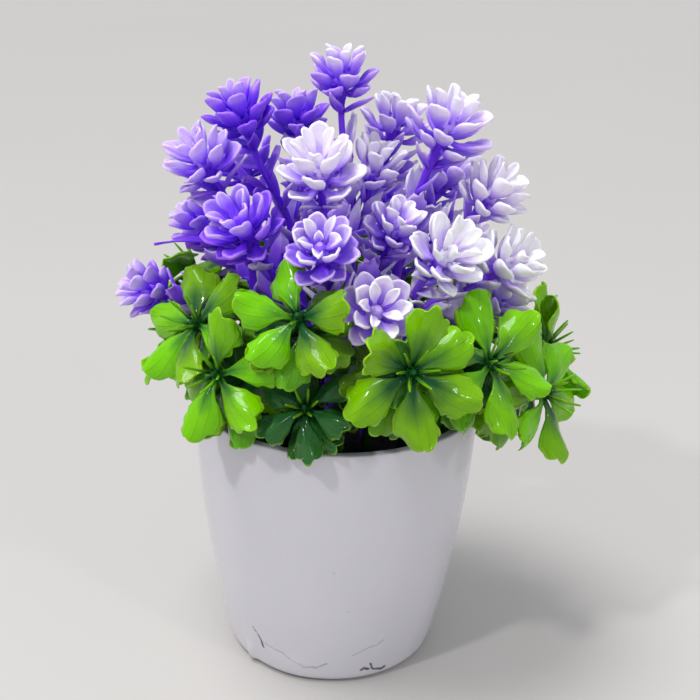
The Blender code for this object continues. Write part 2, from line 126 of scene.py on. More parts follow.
# The rings that bear petals, from the lowest up: petal length, width, lean and curl
HEAD_WHORLS = {
    4: (10.2, 6.5, 90.0, 64.0),
    5: (9.8, 5.9, 64.0, 50.0),
    6: (8.0, 3.3, 42.0, 24.0),
}
HEAD_MIDDLE = 6.5
HEAD_FOCUS = Vector((0.0, 5.0, 82.0))
# How much paler each whorl of a head is than the one below it, and the bracts than the head
WHORL_PALENESS = 0.2
BRACT_PALENESS = -0.3

# A leaf sprig, from its tip down: distance of each whorl from the tip, leaf length, width, lean, curl,
# and which of the stem's sides bear a leaf
SPRIG_WHORLS = (
    (2.0, 18.0, 12.4, 74.0, -24.0, (0, 1, 2, 3, 4, 5)),
    (10.5, 16.5, 11.2, 82.0, -32.0, (0, 1, 2, 3, 4)),
    (19.5, 13.5, 8.8, 84.0, -28.0, (0, 2, 4)),
)
WHORL_SPREAD = 1.5
SPRIG_TIP = ((0.6, 1.3), (-0.9, 0.5))
NEEDLE = (8.5, 0.5, 34.0, 10.0)
NEEDLE_TONE = 0.8

# How blades vary: the ranges of the draws that are added to lean and curl and that scale length and width
PETAL_SPREAD = ((-7, 7), (-8, 8), (0.94, 1.06), (0.95, 1.05))
BRACT_SPREAD = ((-12, 12), (-20, 20), (0.85, 1.15), None)
LEAF_SPREAD = ((-8, 8), (-14, 14), (0.92, 1.06), (0.94, 1.06))

# Blades of a lower rank find their room first. Each further whorl of petals or leaves ranks one higher.
PETAL_RANK = 0
LEAF_RANK = 3
BRACT_RANK = 6
NEEDLE_RANK = 7

# Flower sprays: slot, hole (x, y), fork (x, y, z), heads (x, y, z, size)
FLOWER_SPRAYS = (
    ("violet", (-5, 5), (-13, 7, 118), ((-28, 4, 156, 1.0), (-13, 17, 153, 0.9))),
    ("violet", (-9, -7), (-15, -13, 104), ((-25, -28, 134, 1.08),)),
    ("violet", (-12, 1), (-23, 0, 104), ((-37, -12, 147, 1.0), (-54, 0, 107, 0.9), (-40, 10, 124, 0.9))),
    ("lilac", (-2, -4), (-3, -9, 116), ((-6, -21, 148, 1.12), (8, 3, 143, 0.95))),
    ("lilac", (2, 4), (3, 6, 126), ((-1, 2, 167, 0.92), (14, 18, 152, 0.95))),
    ("lilac", (7, 0), (16, -1, 118), ((27, -5, 156, 1.14), (40, -7, 139, 1.02))),
    ("white", (8, -7), (20, -13, 104), ((27, -30, 129, 1.08), (45, -14, 122, 1.04), (47, 4, 106, 0.9))),
    ("lilac", (1, -11), (3, -24, 104), ((9, -41, 117, 1.0), (-5, -37, 131, 0.98), (14, -15, 131, 0.9))),
    ("violet", (-7, 11), (-15, 18, 106), ((-30, 27, 138, 1.05), (-10, 38, 132, 1.0), (-36, 30, 114, 0.95))),
    ("lilac", (8, 9), (17, 17, 106), ((30, 20, 137, 1.05), (14, 40, 128, 1.0), (37, 30, 114, 0.95))),
)
# How pale each of those heads is, from 0, deep, to 1, white-tipped
HEAD_TONES = (
    (0.36, 0.5), (0.4,), (0.85, 0.65, 0.5), (0.95, 0.8), (0.42, 0.65), (0.66, 0.95), (0.9, 0.85, 0.65),
    (0.75, 0.5, 0.6), (0.45, 0.55, 0.45), (0.6, 0.7, 0.6),
)

# Leaf sprigs: hole (x, y), tip (x, y, z), the way the tip faces, how far its whorls are spun, size
LEAF_SPRIGS = (
    ((-20, -12), (-38, -21, 105), (-0.55, -0.60, 0.58), 30, 1.0),
    ((-14, -20), (-31, -36, 97), (-0.40, -0.82, 0.42), -5, 1.0),
    ((-4, -20), (-10, -43, 116), (-0.10, -0.72, 0.68), 27, 0.9),
    ((8, -22), (18, -50, 105), (0.12, -0.90, 0.42), 0, 1.0),
    ((18, -16), (39, -37, 103), (0.50, -0.66, 0.56), 0, 1.0),
    ((23, -7), (56, -24, 89), (0.82, -0.48, 0.25), 0, 1.0),
    ((24, 4), (60, 3, 92), (0.90, 0.05, 0.42), 20, 1.0),
    ((20, 15), (46, 28, 102), (0.75, 0.45, 0.48), 0, 1.0),
    ((9, 22), (15, 48, 97), (0.20, 0.90, 0.38), 30, 1.0),
    ((-7, 22), (-14, 47, 103), (-0.22, 0.86, 0.46), 10, 1.0),
    ((-19, 16), (-44, 26, 105), (-0.75, 0.45, 0.48), 0, 1.0),
    ((-24, 2), (-45, 3, 95), (-0.90, 0.05, 0.42), 20, 1.0),
    ((0, -27), (-8, -39, 90), (-0.12, -0.80, 0.58), 10, 0.72),
)
# How lime the leaves of each whorl are, from the tip's down, and the small sprig that stays dark
# The lower whorls and that sprig are darker partly in their own colour and partly by painted shade
WHORL_TONES_AND_SHADE = (1.0, 0.72, 0.25)
DARK_SHADED_SPRIG = 13
DARK_TONE_AND_SHADE = 0.1


class Form(NamedTuple):
    """What one kind of blade is like: shares of its width along its length, fall of its end's shoulders and
    depth of its end's lobes as shares of its length, and how far its edges stand above its middle in mm."""

    widths: tuple
    shoulder: float
    lobes: float
    cup: float


FORMS = {
    "petal": Form(((0.0, 0.3), (0.5, 0.84), (0.7, 1.0), (0.88, 0.9), (1.0, 0.6)), 0.12, 0.0, 0.9),
    "leaf": Form(((0.0, 0.1), (0.3, 0.4), (0.55, 0.84), (0.78, 1.0), (1.0, 0.84)), 0.17, 0.04, -0.8),
    "leaflet": Form(((0.0, 0.2), (0.3, 0.6), (0.55, 1.0), (0.8, 0.8), (1.0, 0.3)), 0.0, 0.0, 0.5),
    "bract": Form(((0.0, 0.4), (0.35, 1.0), (0.6, 0.86), (0.85, 0.4), (1.0, 0.06)), 0.0, 0.0, 0.5),
    "needle": Form(((0.0, 1.0), (1.0, 0.2)), 0.0, 0.0, 0.0),
}
LOBE_PITCH = 0.8

# Room between the blades: the least distance between their middles, and how a blade may give way. Further
# away than NEAR, nothing is looked at.
NEAR = 4.0
BLADE_ROOM = 2.1
SAME_PIECE_ROOM = 1.12
POT_ROOM = 1.3
STEM = -1
SAMPLE_STEP = 1.4
STEM_SAMPLE_STEP = 1.2
FREE_FROM = 0.25
LEANS = (28.0, 128.0)
SWINGS = (0, -12, 12, -24, 24, -38, 38, -52, 52)
SWING_LIMITS = {"petal": 24, "leaf": 52, "leaflet": 52, "bract": 52, "needle": 24}
SWAYS = (0, -10, 10, -20, 20)
SCALES = (1.0, 0.88, 0.76, 0.64)
# A swing of 14 degrees, a sway of 12 degrees and a loss of 1/11 of its size change a blade equally much
SWING_UNIT = 14
SWAY_UNIT = 12
SIZE_UNITS = 11
# Numbers the rings of a piece's limbs one after another, where no limb has as many rings as this
RING_SPAN = 100

# What the fine plant has besides: a lowest whorl and a bud in each head, and leaflets up the flower stems
LOW_RING = 3
LOW_WHORL = (10.0, 6.2, 104.0, 72.0)
LOW_SPREAD = ((-8, 6), (-8, 8), (0.85, 1.05), None)
LOW_PALENESS = -0.25
BUD_RING = 6
BUD_PETALS = (5.6, 3.4, 17.0, 16.0)
BUD_SPREAD = ((-6, 6), None, (0.9, 1.1), None)
BUD_SIDES = (0, 2, 3)
LEAFLET_PLACES = (0.2, 0.3, 0.38, 0.46, 0.52, 0.58, 0.64, 0.7, 0.76, 0.82, 0.88, 0.94)
LEAFLET = (12.5, 7.6, 58.0, 22.0)
LONG_BRACT = (11.5, 3.0, 50.0, 16.0)
LEAFLET_SPREAD = ((-15, 15), (-12, 16), (0.8, 1.1), (0.85, 1.1))
GOLDEN_ANGLE = 137.5
# Small dark leaves down each green stem, by their place between its rings; their darkness is partly painted
# shade
LOW_LEAF_PLACES = (2.1, 2.5, 2.9, 3.2, 3.5, 3.8, 6.5, 6.8, 9.3, 9.6)
LOW_LEAF = (12.5, 9.0, 78.0, -22.0)
LOW_LEAF_SPREAD = ((-20, 20), (-16, 16), None, None)
LOW_LEAF_SIZES = (0.75, 1.15)
# The least and the most tone of those leaves, from dark to lime, and of the leaflets, from deep to pale
# Those small leaves are darker partly in their own colour and partly by painted shade, low under the rosettes
LOW_LEAF_TONES_AND_SHADE = (0.05, 0.35)
LEAFLET_TONES = (0.15, 0.9)
# A stem's own tone, and how many rings at a flower stem's end are as pale as its bud
STEM_TONE = 0.3
BUD_RINGS = 3
BUD_PALENESS = 0.45
# A long dark leaflet that stands out at the left: its spray and limb, its place between rings and its side,
# and its lean, curl, length, width and tone
STRAY_LIMB = (3, 0)
STRAY_PLACE = (5.5, 1.0)
STRAY = (62.0, -24.0, 25.0, 4.4, 0.0)
STRAY_RANK = -1
LOW_RANK = 0
BUD_RANK = 1
SMALL_RANK = 2
FINE_ROOM = 1.1
FINE_SAME_ROOM = 0.9

# A needle is drawn fuller than its solid, and no blade is quite straight
NEEDLE_FULLNESS = 1.5
SHORTEST_CURL = 4.0


class Blade(NamedTuple):
    """One petal, leaf, leaflet or needle: a thin strip that grows from a root and curls as it goes."""

    kind: str
    root: Vector
    axis: Vector
    out: Vector
    lean: float
    curl: float
    length: float
    width: float
    tone: float

    def given(self, swing, sway, scale):
        """A copy of the blade, leaning and turned by these degrees, shorter and half as much narrower."""
        sway = math.radians(sway)
        return self._replace(
            out=math.cos(sway) * self.out + math.sin(sway) * self.axis.cross(self.out),
            lean=self.lean + swing,
            length=self.length * scale,
            width=self.width * (0.5 + 0.5 * scale),
        )

    def points(self, across, along):
        """Points on the blade's middle surface at these shares of its width and length."""
        form = FORMS[self.kind]
        u = np.asarray(across, float)
        v = np.asarray(along, float)
        places, shares = np.transpose(form.widths)
        share = np.interp(v, places, shares)
        lobes = form.lobes * v**6 * (np.cos(2 * math.pi * u / LOBE_PITCH) - 1)
        s = self.length * v * (1 - form.shoulder * u**2 * v**2 + lobes)
        off = form.cup * (u * share) ** 2
        bend = math.radians(self.curl) / self.length
        x = 0.5 * self.width * share * u
        y = np.sin(bend * s) * (1 / bend - off)
        z = (1 - np.cos(bend * s)) / bend + off * np.cos(bend * s)
        lean = math.radians(self.lean)
        forward = math.cos(lean) * self.axis + math.sin(lean) * self.out
        normal = math.sin(lean) * self.axis - math.cos(lean) * self.out
        axes = np.array([forward.cross(normal), forward, normal])
        return np.array(self.root) + np.stack([x, y, z], -1) @ axes

    def samples(self):
        """Points spread over the blade, and which of them are past its root."""
        rows = max(3, round(self.length / SAMPLE_STEP) + 1)
        columns = max(3, round(self.width / SAMPLE_STEP) + 1)
        v, u = np.meshgrid(np.linspace(0.1, 1, rows), np.linspace(-1, 1, columns), indexing="ij")
        return self.points(u.ravel(), v.ravel()), v.ravel() >= FREE_FROM


class Limb:
    """A stem made of rings, each turned half a side from the one before, that bears blades.

    blades are those still looking for room and settled those that have it. bud_tone is its last rings' tone.
    """

    def __init__(self, sides, rings, spin):
        self.sides = sides
        self.centres = [centre for centre, _ in rings]
        self.radii = [radius for _, radius in rings]
        self.axes = []
        self.outs = []
        self.blades = []
        self.settled = []
        self.bud_tone = STEM_TONE
        out = Matrix.Rotation(math.radians(spin), 3, rings[-1][0] - rings[-2][0]) @ UP
        for i in reversed(range(len(rings))):
            before, after = self.centres[max(0, i - 1)], self.centres[min(i + 1, len(rings) - 1)]
            axis = (after - before).normalized()
            out = (out - out.dot(axis) * axis).normalized()
            self.axes.insert(0, axis)
            self.outs.insert(0, out)

    def way(self, ring, side):
        """The direction from a ring's centre at this many sides round it."""
        angle = 2 * math.pi * side / self.sides
        out = self.outs[ring]
        return math.cos(angle) * out + math.sin(angle) * self.axes[ring].cross(out)

    def bear(self, rank, kind, ring, side, *shape):
        """Plans a blade on a ring, with this lean, curl, length, width and tone."""
        out = self.way(ring, side + 0.5 + 0.5 * (ring % 2))
        root = self.centres[ring] + self.radii[ring] * math.cos(math.pi / self.sides) * out
        self.blades.append((rank, ring, Blade(kind, root, self.axes[ring], out, *shape)))

    def sprout(self, rank, kind, place, side, *shape):
        """The same between two rings: place is a ring's number and the share of the way to the next."""
        ring = int(place)
        root = self.centres[ring].lerp(self.centres[ring + 1], place - ring)
        self.blades.append((rank, ring, Blade(kind, root, self.axes[ring], self.way(ring, side), *shape)))


class Crowd:
    """Everything placed so far, as sample points that are marked with their piece and whorl."""

    def __init__(self):
        self.points = np.empty((0, 3))
        self.radii = np.empty(0)
        self.marks = np.empty((0, 3), int)
        self.room = BLADE_ROOM
        self.same_room = SAME_PIECE_ROOM

    def add(self, points, radius, owner, whorl, free):
        marks = np.empty((len(points), 3), int)
        marks[:, 0], marks[:, 1], marks[:, 2] = owner, whorl, free
        self.points = np.vstack([self.points, points])
        self.radii = np.append(self.radii, np.full(len(points), radius))
        self.marks = np.vstack([self.marks, marks])

    def is_clear(self, points, owner, whorl, free):
        """True if the points keep their distance from other pieces, from their own piece and the pot."""
        low, high = points.min(0) - NEAR, points.max(0) + NEAR
        near = ((self.points > low) & (self.points < high)).all(1)
        if near.any():
            gaps = np.linalg.norm(points[:, None] - self.points[near][None], axis=2) - self.radii[near]
            owners, whorls, freed = self.marks[near].T
            beside = (owners == owner) & (whorls == whorl) & (freed == 1)
            others = (owners == owner) & (whorls != whorl) & (whorls != STEM)
            if gaps[:, owners != owner].min(initial=self.room) < self.room:
                return False
            if gaps[:, others].min(initial=self.same_room) < self.same_room:
                return False
            if gaps[free][:, beside].min(initial=self.same_room) < self.same_room:
                return False
        return pot_gap(points).min() > POT_ROOM


class Piece(NamedTuple):
    """A spray or a sprig: the node that it stands for, its slot, and the limbs that it is made of."""

    node: str
    slot: str
    limbs: list


def jitter(*keys):
    """A generator of small random draws. The first key says what they are for, the others name the blade."""
    seed = 0
    for key in keys:
        seed = seed * 101 + key
    return random.Random(seed)


def pot_radius(z):
    """The outer radius of the pot at this height."""
    taper = RIM_RADIUS - POT_TAPER * (1 - z / POT_HEIGHT) ** POT_TAPER_POWER
    below = np.clip(1 - z / BASE_ROUND, 0, 1)
    return taper - BASE_ROUND * (1 - np.sqrt(1 - below**2))


def pot_gap(points):
    """How far points are from the pot's wall and the filler's top: negative inside them."""
    radius = np.hypot(points[:, 0], points[:, 1])
    z = points[:, 2]
    wall = pot_radius(np.clip(z, 0, POT_HEIGHT))
    beside = np.maximum(radius - wall, wall - WALL - radius)
    above = z - POT_HEIGHT
    to_wall = np.where(above > 0, np.hypot(above, np.maximum(beside, 0)), beside)
    to_plug = np.where(radius < wall, z - PLUG_TOP, POT_HEIGHT)
    return np.minimum(to_wall, to_plug)


def arc(start, start_way, end, end_way, count):
    """Points on a smooth line from start to end, which leaves and arrives along the two directions."""
    reach = 0.4 * (end - start).length
    a, b = start + reach * start_way, end - reach * end_way
    found = []
    for i in range(count):
        t = i / (count - 1)
        s = 1 - t
        found.append(s**3 * start + 3 * s * s * t * a + 3 * s * t * t * b + t**3 * end)
    return found


def place_on(line, back):
    """The point this far back along a line from its end, or past the end for a negative distance."""
    for after, before in zip(reversed(line), reversed(line[:-1])):
        step = (after - before).length
        if back <= step:
            return after + (before - after) * (back / step)
        back -= step
    return line[0]


def stem_foot(hole):
    """The straight foot of a stem: near the bottom of its hole, and at the filler's top."""
    return [Vector((*hole, PLUG_TOP - HOLE_DEPTH + FOOT_GAP)), Vector((*hole, PLUG_TOP))]


def varied(draw, shape, size, spread):
    """A blade's lean, curl, length and width from its shape, each changed by a draw where it has a range."""
    length, width, lean, curl = shape
    turns, sizes = zip((lean, curl), spread), zip((length * size, width * size), spread[2:])
    changed = [value + draw.uniform(*limits) if limits else value for value, limits in turns]
    return changed + [value * draw.uniform(*limits) if limits else value for value, limits in sizes]


def plan_spray(number, slot, hole, fork, heads):
    """A spray: one limb up to its first head, and one from its fork to each further head."""
    piece = Piece(f"flower_spray_{number:02d}", slot, [])
    foot, top = stem_foot(hole)
    fork = Vector(fork)
    way = ((fork - top).normalized() + UP).normalized()
    for index, (x, y, z, size) in enumerate(heads):
        middle = Vector((x, y, z))
        axis = (middle - HEAD_FOCUS).normalized()
        base = middle - HEAD_MIDDLE * size * axis
        end = [(base + axis * height * size, radius * size) for height, radius in TWIG_END]
        twig = [(spot, TWIG) for spot in arc(fork, way, end[0][0], axis, SPRAY_BEND)[1:-1]]
        if index == 0:
            start = [(spot, SPRAY_STEM) for spot in [foot] + arc(top, UP, fork, way, SPRAY_BEND)]
        else:
            start = [(fork - (2.0 + index) * way, TWIG)]
        limb = Limb(SPRAY_SIDES, start + twig + end, HEAD_SPIN * (number + index))
        limb.first = len(start + twig)
        limb.size = size
        limb.tone = HEAD_TONES[number - 1][index]
        limb.bud_tone = limb.tone + BUD_PALENESS
        for side in BRACT_SIDES:
            shape = varied(jitter(2, number, index, side), BRACT, 1, BRACT_SPREAD)
            tone = limb.tone + BRACT_PALENESS
            limb.bear(BRACT_RANK, "bract", limb.first + BRACT_RING, side, *shape, tone)
        for whorl, (ring, plain) in enumerate(HEAD_WHORLS.items()):
            for side in range(SPRAY_SIDES):
                shape = varied(jitter(1, number, index, ring, side), plain, size, PETAL_SPREAD)
                tone = limb.tone + WHORL_PALENESS * (whorl - 1)
                limb.bear(PETAL_RANK + whorl, "petal", limb.first + ring, side, *shape, tone)
        piece.limbs.append(limb)
    return piece


def plan_sprig(number, hole, tip, facing, spin, size):
    """A sprig: one limb, with three close rings at each whorl of leaves, and needles at its tip."""
    foot, top = stem_foot(hole)
    line = arc(top, UP, Vector(tip), Vector(facing).normalized(), SPRIG_BEND)
    rings = [(spot, SPRIG_STEM) for spot in (foot, top, *[line[i] for i in SPRIG_RINGS])]
    whorls = []
    for back, *_ in reversed(SPRIG_WHORLS):
        whorls.insert(0, len(rings) + 1)
        rings += [(place_on(line, (back + WHORL_SPREAD * step) * size), SPRIG_NODE) for step in (1, 0, -1)]
    rings.pop()
    rings += [(place_on(line, back), radius) for back, radius in SPRIG_TIP]
    limb = Limb(SPRIG_SIDES, rings, spin)
    for level, (_, *plain, sides) in enumerate(SPRIG_WHORLS):
        # Lower whorls and the dark sprig take a low tone that is partly painted shade
        tone = DARK_TONE_AND_SHADE if number == DARK_SHADED_SPRIG else WHORL_TONES_AND_SHADE[level]
        for side in sides:
            shape = varied(jitter(3, number, level, side), plain, size, LEAF_SPREAD)
            limb.bear(LEAF_RANK + level, "leaf", whorls[level], side, *shape, tone)
    length, width, lean, curl = NEEDLE
    for side in range(SPRIG_SIDES):
        limb.bear(
            NEEDLE_RANK, "needle", whorls[0] + 1, side, lean, curl, length * size, width, NEEDLE_TONE,
        )
    return Piece(f"leaf_sprig_{number:02d}", "leaf", [limb])


def plan_more(sprays, sprigs):
    """Plans what the fine plant has besides the solids: small leaves, low petals, buds and leaflets."""
    for number, piece in enumerate(sprigs):
        for spot, place in enumerate(LOW_LEAF_PLACES):
            draw = jitter(9, number, spot)
            size = draw.uniform(*LOW_LEAF_SIZES)
            side = draw.uniform(0, 1) + spot * GOLDEN_ANGLE / (360 / SPRIG_SIDES)
            shape = varied(draw, LOW_LEAF, size, LOW_LEAF_SPREAD)
            piece.limbs[0].sprout(SMALL_RANK, "leaf", place, side, *shape, draw.uniform(*LOW_LEAF_TONES_AND_SHADE))
    number, index = STRAY_LIMB
    sprays[number - 1].limbs[index].sprout(STRAY_RANK, "bract", *STRAY_PLACE, *STRAY)
    for number, piece in enumerate(sprays):
        for index, limb in enumerate(piece.limbs):
            for side in range(SPRAY_SIDES):
                shape = varied(jitter(5, number, index, side), LOW_WHORL, limb.size, LOW_SPREAD)
                tone = limb.tone + LOW_PALENESS
                limb.bear(LOW_RANK, "petal", limb.first + LOW_RING, side, *shape, tone)
            for side in BUD_SIDES:
                shape = varied(jitter(6, number, index, side), BUD_PETALS, limb.size, BUD_SPREAD)
                tone = limb.tone + WHORL_PALENESS
                limb.bear(BUD_RANK, "petal", limb.first + BUD_RING, side + 0.5, *shape, tone)
            for spot, share in enumerate(LEAFLET_PLACES):
                draw = jitter(7, number, index, spot)
                kind, plain = ("leaflet", LEAFLET) if spot % 2 else ("bract", LONG_BRACT)
                place = 1 + share * (limb.first - 1)
                side = draw.uniform(0, 1) + spot * GOLDEN_ANGLE / (360 / SPRAY_SIDES)
                shape = varied(draw, plain, 1, LEAFLET_SPREAD)
                limb.sprout(SMALL_RANK, kind, place, side, *shape, draw.uniform(*LEAFLET_TONES))


def cost_of(give):
    """How much a way to give changes a blade."""
    swing, sway, scale = give
    return abs(swing) / SWING_UNIT + abs(sway) / SWAY_UNIT + (1 - scale) * SIZE_UNITS


def settle(crowd, pieces):
    """Bends each planned blade clear of what is already there. A blade that finds no room is left out."""
    queue = []
    for owner, piece in enumerate(pieces):
        for number, limb in enumerate(piece.limbs):
            for rank, ring, blade in limb.blades:
                queue.append((rank, owner, RING_SPAN * number + ring, limb, blade))
            limb.blades = []
    gives = sorted(itertools.product(SWINGS, SWAYS, SCALES), key=cost_of)
    for _, owner, whorl, limb, blade in sorted(queue, key=lambda entry: entry[0]):
        for give in gives:
            bent = blade.given(*give)
            if abs(give[0]) > SWING_LIMITS[blade.kind] or not LEANS[0] <= bent.lean <= LEANS[1]:
                continue
            points, free = bent.samples()
            if crowd.is_clear(points, owner, whorl, free):
                crowd.add(points, 0.0, owner, whorl, free)
                limb.settled.append(bent)
                break


@functools.cache
def plan():
    """The sprays and the sprigs, with their blades where the solids have them and the finer ones between."""
    sprays = [plan_spray(i + 1, *spray) for i, spray in enumerate(FLOWER_SPRAYS)]
    sprigs = [plan_sprig(i + 1, *sprig) for i, sprig in enumerate(LEAF_SPRIGS)]
    crowd = Crowd()
    for owner, piece in enumerate(sprays + sprigs):
        for limb in piece.limbs:
            for a, b, radius in zip(limb.centres, limb.centres[1:], limb.radii):
                steps = max(2, round((b - a).length / STEM_SAMPLE_STEP))
                crowd.add(np.array([a.lerp(b, i / steps) for i in range(steps)]), radius, owner, STEM, False)
    settle(crowd, sprays + sprigs)
    crowd.room = FINE_ROOM
    crowd.same_room = FINE_SAME_ROOM
    plan_more(sprays, sprigs)
    settle(crowd, sprays + sprigs)
    return sprays, sprigs


# Nodes

MATH, VECTOR_MATH, RANGE = "ShaderNodeMath", "ShaderNodeVectorMath", "ShaderNodeMapRange"
NOISE, BUMP, MIX, RAMP = "ShaderNodeTexNoise", "ShaderNodeBump", "ShaderNodeMix", "ShaderNodeValToRGB"


def fill(tree, node, inputs):
    """Gives a node its inputs: a value is set on the socket, and a socket is linked to it."""
    for key, value in inputs.items() if isinstance(inputs, dict) else enumerate(inputs):
        if isinstance(value, bpy.types.NodeSocket):
            tree.links.new(value, node.inputs[key])
        else:
            node.inputs[key].default_value = value


def add(tree, kind, inputs=(), **settings):
    """Adds a node with its settings and inputs, and returns its first output."""
    node = tree.nodes.new(kind)
    node.location = (190 * (len(tree.nodes) % 12), -260 * (len(tree.nodes) // 12))
    for name, value in settings.items():
        setattr(node, name, value)
    fill(tree, node, inputs)
    return node.outputs[0] if node.outputs else node


def linear(colour_hex):
    """A colour written as sRGB hex, as the linear values that a shader takes."""
    shares = [int(colour_hex[i:i + 2], 16) / 255 for i in (1, 3, 5)]
    return (*[c / 12.92 if c <= 0.04045 else ((c + 0.055) / 1.055) ** 2.4 for c in shares], 1.0)


# The fine shape of each kind of blade: points of its width curve, and counts across and along
WIDTH_CURVES = {
    "petal": (
        (0.0, 0.2), (0.2, 0.3), (0.4, 0.66), (0.6, 0.95), (0.75, 1.0), (0.85, 0.92), (0.94, 0.75),
        (1.0, 0.58),
    ),
    "leaf": (
        (0.0, 0.14), (0.15, 0.17), (0.28, 0.42), (0.42, 0.76), (0.6, 0.98), (0.8, 0.99), (0.93, 0.82),
        (1.0, 0.6),
    ),
    "leaflet": ((0.0, 0.2), (0.2, 0.3), (0.38, 0.8), (0.55, 1.0), (0.75, 0.84), (0.9, 0.56), (1.0, 0.2)),
    "bract": ((0.0, 0.4), (0.35, 1.0), (0.6, 0.86), (0.85, 0.4), (1.0, 0.06)),
    "needle": ((0.0, 1.0), (0.7, 0.8), (1.0, 0.3)),
}
FACETS = {"petal": (5, 8), "leaf": (13, 11), "leaflet": (7, 9), "bract": (3, 7), "needle": (3, 5)}
KINDS = list(FACETS)

BLADE_INPUTS = {
    "Thickness": 0.0009,
    "Cup": 0.0009,
    "Shoulder": 0.12,
    "Lobe depth": 0.0,
    "Lobe pitch": 0.62,
    "Toothed": 0.0,
    "Ruffle": 0.0,
    "Twist": 0.0,
    "Sway": 0.0,
    "Round edge": 0.07,
    "Slimming": 0.0,
}
BLADE_LOOKS = {
    "petal": {
        "Cup": 0.0015, "Shoulder": 0.055, "Ruffle": 0.0002, "Twist": 0.0018, "Sway": 0.22,
        "Round edge": 0.06, "Slimming": 0.11,
    },
    "leaf": {
        "Cup": -0.0034, "Shoulder": 0.15, "Lobe depth": 0.17, "Lobe pitch": 0.62, "Ruffle": 0.0006,
        "Twist": 0.0052, "Sway": 0.24, "Round edge": 0.05, "Slimming": 0.05,
    },
    "leaflet": {
        "Cup": 0.0009, "Shoulder": 0.0, "Lobe depth": 0.26, "Lobe pitch": 0.5, "Toothed": 1.0,
        "Ruffle": 0.0004, "Twist": 0.003, "Sway": 0.3,
    },
    "bract": {"Cup": 0.0007, "Shoulder": 0.0, "Ruffle": 0.0002, "Twist": 0.0012, "Sway": 0.2},
    "needle": {"Cup": 0.0, "Shoulder": 0.0, "Sway": 0.2},
}
# How thick each kind is, as a share of the thickness that its piece is given
THICKNESS_SHARES = {"petal": 1.0, "leaf": 0.9, "leaflet": 0.7, "bract": 0.7, "needle": 0.8}
# Rows stand closer towards a blade's end, where it is round
END_FOCUS = 1.4
# The share of its length where a blade's scallops start and where they are at their full depth
BROAD_FROM = (0.25, 0.6)
# How much of the rim's inset its end has, and how closely the scallops keep to the rim
END_INSET = 0.35
RIM_POWER = 4.0
# How many ripples a blade has along and across, and how much its half thickness drops towards its end
RIPPLES_ALONG = 1.3
RIPPLES_ACROSS = 0.8
THINNING = 0.18
# What each point of a seed mesh tells its blade
POINT_NUMBERS = ("length", "width", "lean", "curl", "shade")
POINT_VECTORS = ("root", "axis", "out")

